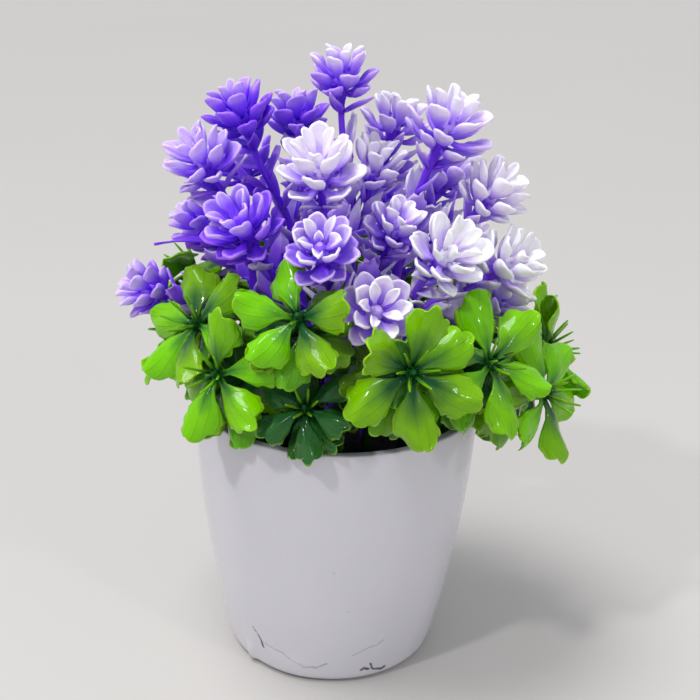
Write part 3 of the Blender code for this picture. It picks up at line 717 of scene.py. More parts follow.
# The sums that bend a blade's template: the name of each result, its operation, and the names or numbers
# that it takes. The first part gives u and v, and the width curve turns v into "share".
PLACE_SUMS = (
    ("w_squared", "MULTIPLY", "w", "w"),
    ("inset", "MULTIPLY", "w_squared", "Round edge"),
    ("keep", "SUBTRACT", 1.0, "inset"),
    ("u", "MULTIPLY", "box_u", "keep"),
    ("v_keep", "MULTIPLY_ADD", "inset", -END_INSET, 1.0),
    ("v_left", "SUBTRACT", 1.0, "box_v"),
    ("v_power", "POWER", "v_left", END_FOCUS),
    ("v_full", "SUBTRACT", 1.0, "v_power"),
    ("v", "MULTIPLY", "v_full", "v_keep"),
)
SHAPE_SUMS = (
    ("across", "MULTIPLY", "u", "share"),
    ("uv", "MULTIPLY", "u", "v"),
    ("uv_squared", "MULTIPLY", "uv", "uv"),
    ("fall", "MULTIPLY", "uv_squared", "Shoulder"),
    ("full", "SUBTRACT", 1.0, "fall"),
    ("reach", "MULTIPLY", "full", "v"),
    ("slimming", "MULTIPLY", "shade", "Slimming"),
    ("slim", "SUBTRACT", 0.5, "slimming"),
    ("half_width", "MULTIPLY", "width", "slim"),
    ("x", "MULTIPLY", "half_width", "across"),
    # Scallops, or teeth, draw the rim in towards the middle of the blade, all round its broad end
    ("from_middle", "SUBTRACT", "reach", 0.5),
    ("y_middle", "MULTIPLY", "from_middle", "length"),
    ("bearing", "ARCTAN2", "x", "y_middle"),
    ("lobe", "DIVIDE", "bearing", "Lobe pitch"),
    ("lobe_moved", "ADD", "lobe", "shade"),
    ("turn", "MULTIPLY", "lobe_moved", math.pi),
    ("wave", "SINE", "turn"),
    ("scallop", "ABSOLUTE", "wave"),
    ("slope", "MULTIPLY_ADD", "Toothed", -2.0, 1.0),
    ("lowest", "SUBTRACT", "Toothed", 1.0),
    ("notch", "MULTIPLY_ADD", "scallop", "slope", "lowest"),
    ("u_size", "ABSOLUTE", "u"),
    ("outer", "MAXIMUM", "u_size", "v"),
    ("outermost", "POWER", "outer", RIM_POWER),
    ("rim", "MULTIPLY", "outermost", "broad"),
    ("rim_notch", "MULTIPLY", "notch", "rim"),
    ("draw_in", "MULTIPLY", "rim_notch", "Lobe depth"),
    ("reach", "MULTIPLY_ADD", "from_middle", "draw_in", "reach"),
    ("x", "MULTIPLY_ADD", "x", "draw_in", "x"),
    # A blade bends sideways along its length
    ("chance", "SUBTRACT", "shade", 0.5),
    ("swayed", "MULTIPLY", "chance", "Sway"),
    ("sway", "MULTIPLY", "swayed", "length"),
    ("v_squared", "MULTIPLY", "v", "v"),
    ("x", "MULTIPLY_ADD", "sway", "v_squared", "x"),
    # Its cup, ripples and twist lift it off its plane, and its thickness goes on top
    ("across_squared", "MULTIPLY", "across", "across"),
    ("cupped", "MULTIPLY", "across_squared", "Cup"),
    ("ripple_along", "MULTIPLY_ADD", "v", RIPPLES_ALONG, "shade"),
    ("ripples", "MULTIPLY_ADD", "u", RIPPLES_ACROSS, "ripple_along"),
    ("ripple_turn", "MULTIPLY", "ripples", math.tau),
    ("ripple", "SINE", "ripple_turn"),
    ("ruffled", "MULTIPLY", "ripple", "Ruffle"),
    ("ruffle", "MULTIPLY", "ruffled", "v"),
    ("rise", "ADD", "cupped", "ruffle"),
    ("twisted", "MULTIPLY", "chance", "Twist"),
    ("twist", "MULTIPLY", "twisted", "uv"),
    ("rise", "ADD", "rise", "twist"),
    ("thin", "MULTIPLY_ADD", "v", -THINNING, 0.5),
    ("half", "MULTIPLY", "thin", "Thickness"),
    ("off", "MULTIPLY_ADD", "w", "half", "rise"),
    # It curls round a circle
    ("radius", "DIVIDE", "length", "curl"),
    ("angle", "MULTIPLY", "curl", "reach"),
    ("sine", "SINE", "angle"),
    ("cosine", "COSINE", "angle"),
    ("inner", "SUBTRACT", "radius", "off"),
    ("y", "MULTIPLY", "inner", "sine"),
    ("height", "MULTIPLY", "inner", "cosine"),
    ("z", "SUBTRACT", "radius", "height"),
    ("cos_lean", "COSINE", "lean"),
    ("sin_lean", "SINE", "lean"),
)
# The same with vectors: where the blade's own forward, normal and side point, and the way from its root
WAY_SUMS = (
    ("axis_up", "SCALE", "axis", "cos_lean"),
    ("axis_side", "SCALE", "axis", "sin_lean"),
    ("out_up", "SCALE", "out", "cos_lean"),
    ("out_side", "SCALE", "out", "sin_lean"),
    ("forward", "ADD", "axis_up", "out_side"),
    ("normal", "SUBTRACT", "axis_side", "out_up"),
    ("side", "CROSS_PRODUCT", "forward", "normal"),
    ("aside", "SCALE", "side", "x"),
    ("ahead", "SCALE", "forward", "y"),
    ("lifted", "SCALE", "normal", "z"),
    ("spot", "ADD", "root", "aside"),
    ("spot", "ADD", "spot", "ahead"),
    ("spot", "ADD", "spot", "lifted"),
)


def blade_tree(kind):
    """A node group that grows one blade of this kind on every point that it is given.

    Its template is a closed box of three layers. u runs across it from -1 to 1, v along it from 0 to 1 and w
    through it, and the group bends it to the point's own lean, curl, length and width.
    """
    tree = bpy.data.node_groups.new(kind + " blade", "GeometryNodeTree")
    face = tree.interface
    face.new_socket("Points", in_out="INPUT", socket_type="NodeSocketGeometry")
    for name, value in BLADE_INPUTS.items():
        socket = face.new_socket(name, in_out="INPUT", socket_type="NodeSocketFloat")
        socket.default_value = value
    face.new_socket("Blades", in_out="OUTPUT", socket_type="NodeSocketGeometry")
    given = add(tree, "NodeGroupInput").node.outputs

    box = add(tree, "GeometryNodeMeshCube", ((2.0, 1.0, 2.0), *FACETS[kind], 3))
    place = (add(tree, "GeometryNodeInputPosition"), (0.0, 0.5, 0.0))
    place = add(tree, VECTOR_MATH, place, operation="ADD")
    uvw = {"Geometry": box, "Name": "uvw", "Value": place}
    box = add(tree, "GeometryNodeStoreNamedAttribute", uvw, data_type="FLOAT_VECTOR", domain="POINT")
    many = add(tree, "GeometryNodeInstanceOnPoints", {"Points": given["Points"], "Instance": box})
    many = add(tree, "GeometryNodeRealizeInstances", {"Geometry": many})

    found = dict(given)
    for data_type, names in (("FLOAT", POINT_NUMBERS), ("FLOAT_VECTOR", (*POINT_VECTORS, "uvw"))):
        for name in names:
            read = {"Name": name}
            found[name] = add(tree, "GeometryNodeInputNamedAttribute", read, data_type=data_type)
    split = add(tree, "ShaderNodeSeparateXYZ", (found["uvw"],)).node.outputs
    found.update(zip(("box_u", "box_v", "w"), split))
    for name, operation, *inputs in PLACE_SUMS:
        found[name] = add(tree, MATH, [found.get(i, i) for i in inputs], operation=operation)

    found["share"] = add(tree, "ShaderNodeFloatCurve", {"Value": found["v"]})
    curve_map = found["share"].node.mapping
    points = curve_map.curves[0].points
    for point in WIDTH_CURVES[kind][1:-1]:
        points.new(*point)
    points[0].location = WIDTH_CURVES[kind][0]
    points[-1].location = WIDTH_CURVES[kind][-1]
    curve_map.update()
    broad = (found["v"], *BROAD_FROM, 0.0, 1.0)
    found["broad"] = add(tree, RANGE, broad, interpolation_type="SMOOTHSTEP")

    for name, operation, *inputs in SHAPE_SUMS:
        found[name] = add(tree, MATH, [found.get(i, i) for i in inputs], operation=operation)
    for name, operation, a, b in WAY_SUMS:
        inputs = {0: found[a], "Scale" if operation == "SCALE" else 1: found[b]}
        found[name] = add(tree, VECTOR_MATH, inputs, operation=operation)
    grown = add(tree, "GeometryNodeSetPosition", {"Geometry": many, "Position": found["spot"]})
    add(tree, "NodeGroupOutput", (grown,))
    return tree


# Flats round a drawn stem, and how far apart its rings stand in metres
STEM_SIDES = 9
STEM_STEP = 0.0012


def plant_tree(name, kinds):
    """The node tree that turns a piece's bare lines and points into stems and blades of these kinds."""
    tree = bpy.data.node_groups.new(name, "GeometryNodeTree")
    face = tree.interface
    face.new_socket("Geometry", in_out="INPUT", socket_type="NodeSocketGeometry")
    face.new_socket("Material", in_out="INPUT", socket_type="NodeSocketMaterial")
    for label, kind, value in (
        ("Stem sides", "Int", STEM_SIDES),
        ("Stem step", "Float", STEM_STEP),
        ("Thickness", "Float", BLADE_INPUTS["Thickness"]),
    ):
        face.new_socket(label, in_out="INPUT", socket_type="NodeSocket" + kind).default_value = value
    face.new_socket("Geometry", in_out="OUTPUT", socket_type="NodeSocketGeometry")
    given = add(tree, "NodeGroupInput").node.outputs
    which = add(tree, "GeometryNodeInputNamedAttribute", {"Name": "kind"}, data_type="INT")

    is_stem = add(tree, "FunctionNodeCompare", {"A": which, "B": STEM}, data_type="INT", operation="EQUAL")
    lines = add(tree, "GeometryNodeSeparateGeometry", {"Geometry": given["Geometry"], "Selection": is_stem})
    stem_radius = add(tree, "GeometryNodeInputNamedAttribute", {"Name": "width"}, data_type="FLOAT")
    stems = add(tree, "GeometryNodeMeshToCurve", {"Mesh": lines})
    stems = add(tree, "GeometryNodeCurveSplineType", {"Curve": stems}, spline_type="CATMULL_ROM")
    spaced = {"Curve": stems, "Length": given["Stem step"]}
    stems = add(tree, "GeometryNodeResampleCurve", spaced, mode="LENGTH")
    ring = add(tree, "GeometryNodeCurvePrimitiveCircle", {"Resolution": given["Stem sides"], "Radius": 1.0})
    stems = add(
        tree, "GeometryNodeCurveToMesh",
        {"Curve": stems, "Profile Curve": ring, "Scale": stem_radius, "Fill Caps": True},
    )
    parts = [stems]
    for kind in kinds:
        wanted = {"A": which, "B": KINDS.index(kind)}
        is_kind = add(tree, "FunctionNodeCompare", wanted, data_type="INT", operation="EQUAL")
        these = {"Geometry": given["Geometry"], "Selection": is_kind}
        points = add(tree, "GeometryNodeSeparateGeometry", these)
        thickness = (given["Thickness"], THICKNESS_SHARES[kind])
        thickness = add(tree, MATH, thickness, operation="MULTIPLY")
        inputs = {"Points": points, "Thickness": thickness, **BLADE_LOOKS[kind]}
        parts.append(add(tree, "GeometryNodeGroup", inputs, node_tree=blade_tree(kind)))
    joined = add(tree, "GeometryNodeJoinGeometry")
    for part in reversed(parts):
        tree.links.new(part, joined.node.inputs[0])
    smooth = add(tree, "GeometryNodeSetShadeSmooth", {"Geometry": joined})
    whole = add(tree, "GeometryNodeRealizeInstances", {"Geometry": smooth})
    done = add(tree, "GeometryNodeSetMaterial", {"Geometry": whole, "Material": given["Material"]})
    add(tree, "NodeGroupOutput", (done,))
    return tree


# Each blade's shade is drawn from its place in tenths of a millimetre, moved so far that it isn't negative
SHADE_SHIFT = 5000


def seed_mesh(piece, name):
    """A bare mesh, with a chain of edges for each stem and a loose point for each blade."""
    spots, edges, rows = [], [], []
    for limb in piece.limbs:
        for i, (centre, radius) in enumerate(zip(limb.centres, limb.radii)):
            if i:
                edges.append((len(spots) - 1, len(spots)))
            spots.append(centre * MM)
            tone = limb.bud_tone if i >= len(limb.centres) - BUD_RINGS else STEM_TONE
            rows.append((STEM, 0.0, radius * MM, 0.0, 0.0, 0.0, tone, UP, UP))
    for limb in piece.limbs:
        for i, blade in enumerate(limb.settled):
            x, y = (round(10 * part) + SHADE_SHIFT for part in blade.root.xy)
            shade = jitter(8, i, x, y).random()
            curl = math.copysign(max(abs(blade.curl), SHORTEST_CURL), blade.curl)
            spots.append(blade.root * MM)
            width = blade.width * (NEEDLE_FULLNESS if blade.kind == "needle" else 1.0)
            rows.append((
                KINDS.index(blade.kind), blade.length * MM, width * MM, math.radians(blade.lean),
                math.radians(curl), shade, blade.tone, blade.axis, blade.out,
            ))
    mesh = bpy.data.meshes.new(name)
    mesh.from_pydata(spots, edges, [])
    columns = list(zip(*rows))
    for label, values in zip((*POINT_NUMBERS, "tone"), columns[1:7]):
        mesh.attributes.new(label, "FLOAT", "POINT").data.foreach_set("value", values)
    for label, values in zip(POINT_VECTORS, (spots, *columns[7:])):
        flat = np.array([tuple(value) for value in values], np.float32).ravel()
        mesh.attributes.new(label, "FLOAT_VECTOR", "POINT").data.foreach_set("vector", flat)
    mesh.attributes.new("kind", "INT", "POINT").data.foreach_set("value", columns[0])
    return mesh


def shown(name, data):
    """A new object with this data, in the scene."""
    obj = bpy.data.objects.new(name, data)
    bpy.context.scene.collection.objects.link(obj)
    return obj


def grow(piece, name, tree, material, thickness):
    """Runs the node tree on a piece's seed mesh and returns the finished plain mesh as an object."""
    seed = shown(name + "_seed", seed_mesh(piece, name + "_seed"))
    modifier = seed.modifiers.new("grow", "NODES")
    modifier.node_group = tree
    sockets = {item.name: item.identifier for item in tree.interface.items_tree if item.in_out == "INPUT"}
    modifier[sockets["Material"]] = material
    modifier[sockets["Thickness"]] = thickness
    graph = bpy.context.evaluated_depsgraph_get()
    mesh = bpy.data.meshes.new_from_object(seed.evaluated_get(graph), depsgraph=graph)
    mesh.name = name
    bpy.data.objects.remove(seed)
    for label in ("root", "axis", "out", "length", "width", "lean", "curl", "radius"):
        if label in mesh.attributes:
            mesh.attributes.remove(mesh.attributes[label])
    return shown(name, mesh)


# Materials

def new_material(name):
    """A new material, its node tree, its shader, and the place on the object that its patterns go by."""
    material = bpy.data.materials.new(name)
    material.use_nodes = True
    tree = material.node_tree
    spot = add(tree, "ShaderNodeTexCoord").node.outputs["Object"]
    return material, tree, tree.nodes["Principled BSDF"], spot


def blade_facts(tree):
    """What the mesh tells of a blade: u, its size, v, the blade's tone and its shade."""
    uvw, tone, shade = (
        add(tree, "ShaderNodeAttribute", attribute_name=name).node.outputs
        for name in ("uvw", "tone", "shade")
    )
    u, v, _ = add(tree, "ShaderNodeSeparateXYZ", (uvw["Vector"],)).node.outputs
    return u, add(tree, MATH, (u,), operation="ABSOLUTE"), v, tone["Fac"], shade["Fac"]


def petal_plastic(name, deep, body, tip):
    """Soft polyethylene, moulded violet and misted white from above: satin, with pale tips, and rims paler
    partly in their own colour and partly by painted light glowing through them.
    """
    material, tree, shader, spot = new_material(name)
    _, u_size, v, tone, shade = blade_facts(tree)
    # The rims are paler partly in their own colour and partly by a painted glow of light through the thin
    # plastic
    edge = add(tree, MATH, (u_size, v), operation="MAXIMUM")
    edge = add(tree, RANGE, (edge, 0.6, 1.0, 0.0, 0.06), interpolation_type="SMOOTHSTEP")
    reach = add(tree, RANGE, (v, 0.05, 0.7, -0.5, 0.24))
    mottle = add(tree, NOISE, {"Vector": spot, "Scale": 1 / (4 * MM), "Detail": 3.0})
    level = add(tree, MATH, (edge, reach), operation="ADD")
    level = add(tree, MATH, (level, tone), operation="ADD")
    level = add(tree, MATH, (shade, 0.16, level), operation="MULTIPLY_ADD")
    level = add(tree, MATH, (mottle, 0.2, level), operation="MULTIPLY_ADD")
    level = add(tree, MATH, (level, 0.12), operation="SUBTRACT")
    colour = add(tree, RAMP, (level,))
    stops = colour.node.color_ramp.elements
    stops[0].color = deep
    stops[1].color = tip
    stops.new(0.5).color = body
    fill(tree, shader, {
        "Base Color": colour,
        "Normal": add(tree, BUMP, {"Height": mottle, "Strength": 0.15, "Distance": 0.0004}),
        "Roughness": 0.4,
        "IOR": 1.45,
        "Specular IOR Level": 0.35,
        "Subsurface Weight": 0.6,
        "Subsurface Radius": (0.8, 0.6, 1.0),
        "Subsurface Scale": 0.0012,
    })
    return material


def leaf_plastic(name, dark, lime, rim):
    """Glossy polyethylene, moulded lime and dipped dark green at the root: fan veins, and a pale thin edge
    that is a painted glow of light through the plastic.
    """
    material, tree, shader, spot = new_material(name)
    u, u_size, v, tone, shade = blade_facts(tree)
    cloud = add(tree, NOISE, {"Vector": spot, "Scale": 1 / (7 * MM), "Detail": 2.0})
    reach = add(tree, MATH, (cloud, 0.3, v), operation="MULTIPLY_ADD")
    reach = add(tree, MATH, (u_size, 0.22, reach), operation="MULTIPLY_ADD")
    reach = add(tree, MATH, (shade, 0.25, reach), operation="MULTIPLY_ADD")
    reach = add(tree, RANGE, (reach, 0.44, 0.82, 0.0, 1.0))
    # A low tone, partly painted shade on the inner leaves, keeps a leaf dark green
    level = add(tree, MATH, (reach, tone), operation="MULTIPLY")
    colour = add(tree, RAMP, (level,))
    stops = colour.node.color_ramp.elements
    stops[0].color = dark
    stops[1].color = lime
    hue = add(tree, RANGE, (shade, 0.0, 1.0, 0.485, 0.51))
    bright = add(tree, RANGE, (shade, 0.0, 1.0, 0.78, 1.14))
    colour = add(tree, "ShaderNodeHueSaturation", {"Color": colour, "Hue": hue, "Value": bright})
    # The pale edge is painted light, a glow through the thin plastic round a leaf's broad end, and needles
    # have none
    edge = add(tree, MATH, (u_size, v), operation="MAXIMUM")
    edge = add(tree, RANGE, (edge, 0.9, 1.0, 0.0, 0.35), interpolation_type="SMOOTHSTEP")
    broad = add(tree, RANGE, (v, 0.35, 0.7, 0.0, 1.0))
    edge = add(tree, MATH, (edge, broad), operation="MULTIPLY")
    kind = add(tree, "ShaderNodeAttribute", attribute_name="kind").node.outputs["Fac"]
    is_leaf = add(tree, MATH, (kind, KINDS.index("needle") - 0.5), operation="LESS_THAN")
    edge = add(tree, MATH, (edge, is_leaf), operation="MULTIPLY")
    colour = add(tree, MIX, {"Factor": edge, "A": colour, "B": rim}, data_type="RGBA")
    # Veins stand out like a fan, and a finer grain of pits covers them
    fan = add(tree, MATH, (u, 0.22), operation="PINGPONG")
    fan = add(tree, RANGE, (fan, 0.0, 0.05, 1.0, 0.0), interpolation_type="SMOOTHSTEP")
    pits = add(tree, NOISE, {"Vector": spot, "Scale": 1 / (1.2 * MM), "Detail": 2.0})
    height = add(tree, MATH, (pits, 0.7, fan), operation="MULTIPLY_ADD")
    fill(tree, shader, {
        "Base Color": colour.node.outputs["Result"],
        "Normal": add(tree, BUMP, {"Height": height, "Strength": 0.45, "Distance": 0.0003}),
        "Roughness": add(tree, RANGE, (cloud, 0.3, 0.7, 0.2, 0.38)),
        "IOR": 1.5,
        "Specular IOR Level": 0.05,
        "Coat Weight": 0.65,
        "Coat IOR": 1.38,
        "Coat Roughness": 0.12,
        "Coat Normal": add(tree, BUMP, {"Height": pits, "Strength": 0.16, "Distance": 0.0003}),
        "Subsurface Weight": 0.35,
        "Subsurface Radius": (0.6, 1.0, 0.15),
        "Subsurface Scale": 0.0012,
    })
    return material


# How far a crack wanders from its straight steps
CRACK_WANDER = 0.8 * MM


def crack_pattern(tree, spot):
    """How dark the cracks and the two marks low on the foot make the pot at a spot, from 0 to 1. Each is a
    chain of straight steps.
    """
    whole = None
    for start_width, end_width, depth, line in CRACKS:
        places = []
        for degrees, z in line:
            angle, radius = math.radians(degrees), float(pot_radius(z))
            places.append(Vector((radius * math.sin(angle), -radius * math.cos(angle), z)) * MM)
        for i, (a, b) in enumerate(zip(places, places[1:])):
            step = b - a
            along = add(tree, VECTOR_MATH, (spot, a), operation="SUBTRACT")
            along = add(tree, VECTOR_MATH, (along, step / step.length_squared), operation="DOT_PRODUCT")
            share = add(tree, "ShaderNodeClamp", (along.node.outputs["Value"],))
            foot = add(tree, VECTOR_MATH, {"Vector": step, "Scale": share}, operation="SCALE")
            foot = add(tree, VECTOR_MATH, (foot, a), operation="ADD")
            far = add(tree, VECTOR_MATH, (spot, foot), operation="DISTANCE").node.outputs["Value"]
            width = start_width + (end_width - start_width) * (i + 0.5) / (len(line) - 1)
            dark = add(tree, RANGE, (far, 0.3 * width * MM, 1.3 * width * MM, depth, 0.0))
            whole = dark if whole is None else add(tree, MATH, (whole, dark), operation="MAXIMUM")
    return whole


def pot_plastic(settings):
    """Thin white polypropylene, injection moulded: glossy, faintly cloudy, cracked by its foot."""
    material, tree, shader, spot = new_material("white_polypropylene")
    cloud = add(tree, NOISE, {"Vector": spot, "Scale": 1 / (25 * MM), "Detail": 4.0})
    clean = {"Factor": cloud, "A": settings.white, "B": settings.cloudy_white}
    clean = add(tree, MIX, clean, data_type="RGBA").node.outputs["Result"]
    warp = add(tree, NOISE, {"Vector": spot, "Scale": 1 / (1.7 * MM), "Detail": 3.0}).node.outputs["Color"]
    warped = add(tree, VECTOR_MATH, (warp, (CRACK_WANDER,) * 3, spot), operation="MULTIPLY_ADD")
    warped = add(tree, VECTOR_MATH, (warped, (0.5 * CRACK_WANDER,) * 3), operation="SUBTRACT")
    crack = crack_pattern(tree, warped)
    scuffs = add(tree, NOISE, {"Vector": spot, "Scale": 1 / (3 * MM), "Detail": 3.0})
    scuffs = add(tree, RANGE, (scuffs, 0.72, 0.8, 0.0, 0.28))
    # The cracks, the two dark marks low on the foot and the scuffs darken the white
    dirt = add(tree, MATH, (crack, scuffs), operation="MAXIMUM")
    dirty = {"Factor": dirt, "A": clean, "B": settings.crack_colour}
    bump = add(tree, BUMP, {"Height": crack, "Strength": 0.6, "Distance": -0.0004})
    fill(tree, shader, {
        "Base Color": add(tree, MIX, dirty, data_type="RGBA").node.outputs["Result"],
        "Normal": add(tree, BUMP, {"Height": cloud, "Strength": 0.1, "Distance": 0.001, "Normal": bump}),
        "Roughness": add(tree, RANGE, (cloud, 0.3, 0.7, 0.07, 0.14)),
        "IOR": 1.49,
        "Subsurface Weight": 0.15,
        "Subsurface Scale": 0.0015,
    })
    return material


def filler_foam(settings):
    """Dark foam, broken and crumbly on top: matt, almost black, with a grain of about a millimetre."""
    material, tree, shader, spot = new_material("dark_foam")
    grain = add(tree, NOISE, {"Vector": spot, "Scale": 1 / (1.1 * MM), "Detail": 4.0})
    colour = add(tree, RAMP, (grain,))
    stops = colour.node.color_ramp.elements
    stops[0].color = settings.black
    stops[1].color = settings.grey
    bump = add(tree, BUMP, {"Height": grain, "Strength": 0.8, "Distance": 0.0008})
    fill(tree, shader, {"Base Color": colour, "Normal": bump, "Roughness": 0.95})
    return material


def pale_floor(settings):
    """A matt painted board: pale, plain, with the faintest cloud in its tint."""
    material, tree, shader, spot = new_material("pale_painted_board")
    cloud = add(tree, NOISE, {"Vector": spot, "Scale": 1 / (330 * MM), "Detail": 2.0})
    tint = {"Factor": cloud, "A": settings.floor, "B": settings.floor_cloud}
    tint = add(tree, MIX, tint, data_type="RGBA").node.outputs["Result"]
    fill(tree, shader, {"Base Color": tint, "Roughness": 0.6})
    return material


# Settings

def colour_property(name, colour_hex, description):
    """A colour that a user can pick, whose default is written as sRGB hex."""
    return bpy.props.FloatVectorProperty(
        name=name, description=description, default=linear(colour_hex),
        subtype="COLOR", size=4, min=0.0, max=1.0,
    )


class PotSettings(bpy.types.PropertyGroup):
    """The pot and its filler."""

    height: bpy.props.FloatProperty(
        name="Height", description="Height of the pot", default=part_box("pot")[1].z, unit="LENGTH", min=0.01,
    )
    segments: bpy.props.IntProperty(
        name="Segments", description="Flats round the pot, so many that it looks round", default=240, min=32,
    )
    grit: bpy.props.FloatProperty(
        name="Grit", description="How far the crumbs stand out of the filler's top",
        default=0.0009, unit="LENGTH",
    )
    white: colour_property("White", "#D6D4DA", "Colour of the pot's plastic")
    cloudy_white: colour_property("Cloudy white", "#CECCD4", "Colour of its cloudier patches")
    # Drawn along the cracks, the two dark marks low on the foot and the scuffs
    crack_colour: colour_property("Cracks", "#46424C", "Colour of the dirt in its cracks")
    black: colour_property("Filler", "#060806", "Colour of the filler")
    grey: colour_property("Crumbs", "#23271F", "Colour of the filler's crumbs")


class FlowerSettings(bpy.types.PropertyGroup):
    """The flower sprays."""

    thickness: bpy.props.FloatProperty(
        name="Petal thickness", description="Thickness of a petal near its root",
        default=0.00105, unit="LENGTH",
    )
    violet_deep: colour_property("Violet, deep", "#6C2ADE", "Root colour of the violet heads")
    violet_body: colour_property("Violet, body", "#9C5EFA", "Body colour of the violet heads")
    violet_tip: colour_property("Violet, tip", "#D6C0FF", "Tip colour of the violet heads")
    lilac_deep: colour_property("Lilac, deep", "#7A38E4", "Root colour of the lilac heads")
    lilac_body: colour_property("Lilac, body", "#BA94FC", "Body colour of the lilac heads")
    lilac_tip: colour_property("Lilac, tip", "#F5EEFF", "Tip colour of the lilac heads")
    white_deep: colour_property("White, deep", "#8048E4", "Root colour of the white heads")
    white_body: colour_property("White, body", "#D4C0FF", "Body colour of the white heads")
    white_tip: colour_property("White, tip", "#FDFBFF", "Tip colour of the white heads")


class LeafSettings(bpy.types.PropertyGroup):
    """The leaf sprigs."""

    thickness: bpy.props.FloatProperty(
        name="Leaf thickness", description="Thickness of a leaf near its root",
        default=0.0009, unit="LENGTH",
    )
    # The inner leaves take this colour partly as painted shade, through their low tones
    dark: colour_property("Root green", "#1A5A2E", "Colour of the leaves' roots and the inner leaves")
    lime: colour_property("Lime", "#74B800", "Colour of the leaves' ends")
    # The edge colour is a painted glow of light through the leaves' thin plastic
    rim: colour_property("Edge", "#AEDC30", "Colour of the leaves' thin edges")


class StageSettings(bpy.types.PropertyGroup):
    """Camera, floor and light."""

    camera_place: bpy.props.FloatVectorProperty(
        name="Camera", description="Where the camera stands", default=(0.0, -0.324, 0.221),
        subtype="TRANSLATION", unit="LENGTH",
    )
    pitch: bpy.props.FloatProperty(
        name="Pitch", description="How far the camera looks down",
        default=math.radians(22.0), subtype="ANGLE",
    )
    yaw: bpy.props.FloatProperty(
        name="Yaw", description="How far it is turned to the right",
        default=math.radians(0.59), subtype="ANGLE",
    )
    roll: bpy.props.FloatProperty(
        name="Roll", description="How far it is tipped", default=math.radians(1.87), subtype="ANGLE",
    )
    lens: bpy.props.FloatProperty(
        name="Lens", description="Focal length on a 36 mm sensor", default=64.3, min=10.0,
    )
    floor_reach: bpy.props.FloatProperty(
        name="Floor reach", description="How far the floor goes each way", default=30.0, unit="LENGTH",
    )
    floor: colour_property("Floor", "#C3C0BC", "Colour of the floor")
    floor_cloud: colour_property("Floor cloud", "#BFBCB8", "Colour of the floor's faint clouds")
    sky: colour_property("Surroundings", "#F0F2F9", "Colour of the light from all round")
    sky_strength: bpy.props.FloatProperty(
        name="Surround strength", description="Strength of the light from all round", default=0.66, min=0.0,
    )
    sun_strength: bpy.props.FloatProperty(
        name="Overhead strength", description="Strength of the wide soft light overhead",
        default=1.9, min=0.0,
    )
    sun_width: bpy.props.FloatProperty(
        name="Overhead width", description="How wide that light is, seen from the plant",
        default=math.radians(26.0), subtype="ANGLE",
    )
    window_power: bpy.props.FloatProperty(
        name="Window power", description="Power of the lamp that gives the leaves their gloss, in watts",
        default=2.2, min=0.0,
    )
    lamp_power: bpy.props.FloatProperty(
        name="Lamp power", description="Power of the weaker lamp on the right, in watts",
        default=0.6, min=0.0,
    )
    lamp_width: bpy.props.FloatProperty(
        name="Lamp width", description="Width of those two lamps", default=0.06, min=0.01, unit="LENGTH",
    )


# Operators

def finish_piece(obj, slot, *nodes):
    """Every piece rides on the plant's one body and stands for its nodes; its slot is not used."""
    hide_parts(*nodes)
    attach(obj, BODY)


def lathe(name, profile, segments):
    """An object turned about Z from a profile of (radius, height) points that begins and ends on Z."""
    work = bmesh.new()
    rows = []
    for radius, z in profile:
        if radius == 0:
            rows.append([work.verts.new((0, 0, z))] * segments)
            continue
        angles = [math.tau * i / segments for i in range(segments)]
        rows.append([work.verts.new((radius * math.cos(a), radius * math.sin(a), z)) for a in angles])
    for low, high in zip(rows, rows[1:]):
        for i in range(segments):
            j = (i + 1) % segments
            corners = [low[i], low[j], high[j], high[i]]
            corners = [c for k, c in enumerate(corners) if c not in corners[:k]]
            work.faces.new(corners)
    bmesh.ops.recalc_face_normals(work, faces=work.faces)
    mesh = bpy.data.meshes.new(name)
    work.to_mesh(mesh)
    work.free()
    mesh.shade_smooth()
    return shown(name, mesh)


# Steps of the pot's profile over its rim, up its wall and round its foot
RIM_STEPS = 25
WALL_STEPS = 50
FOOT_STEPS = 9
# The filler's rings on top, rings up its side and flats round it
FILLER_TOP_RINGS = 40
FILLER_SIDE_RINGS = 12
FILLER_SEGMENTS = 120
# The crumbs on the filler's top: their two sizes, the share of the finer ones, and how deep they sink in it
COARSE_CRUMB = 4 * MM
FINE_CRUMB = 1.5 * MM
FINE_SHARE = 0.6
SUNK = 0.4


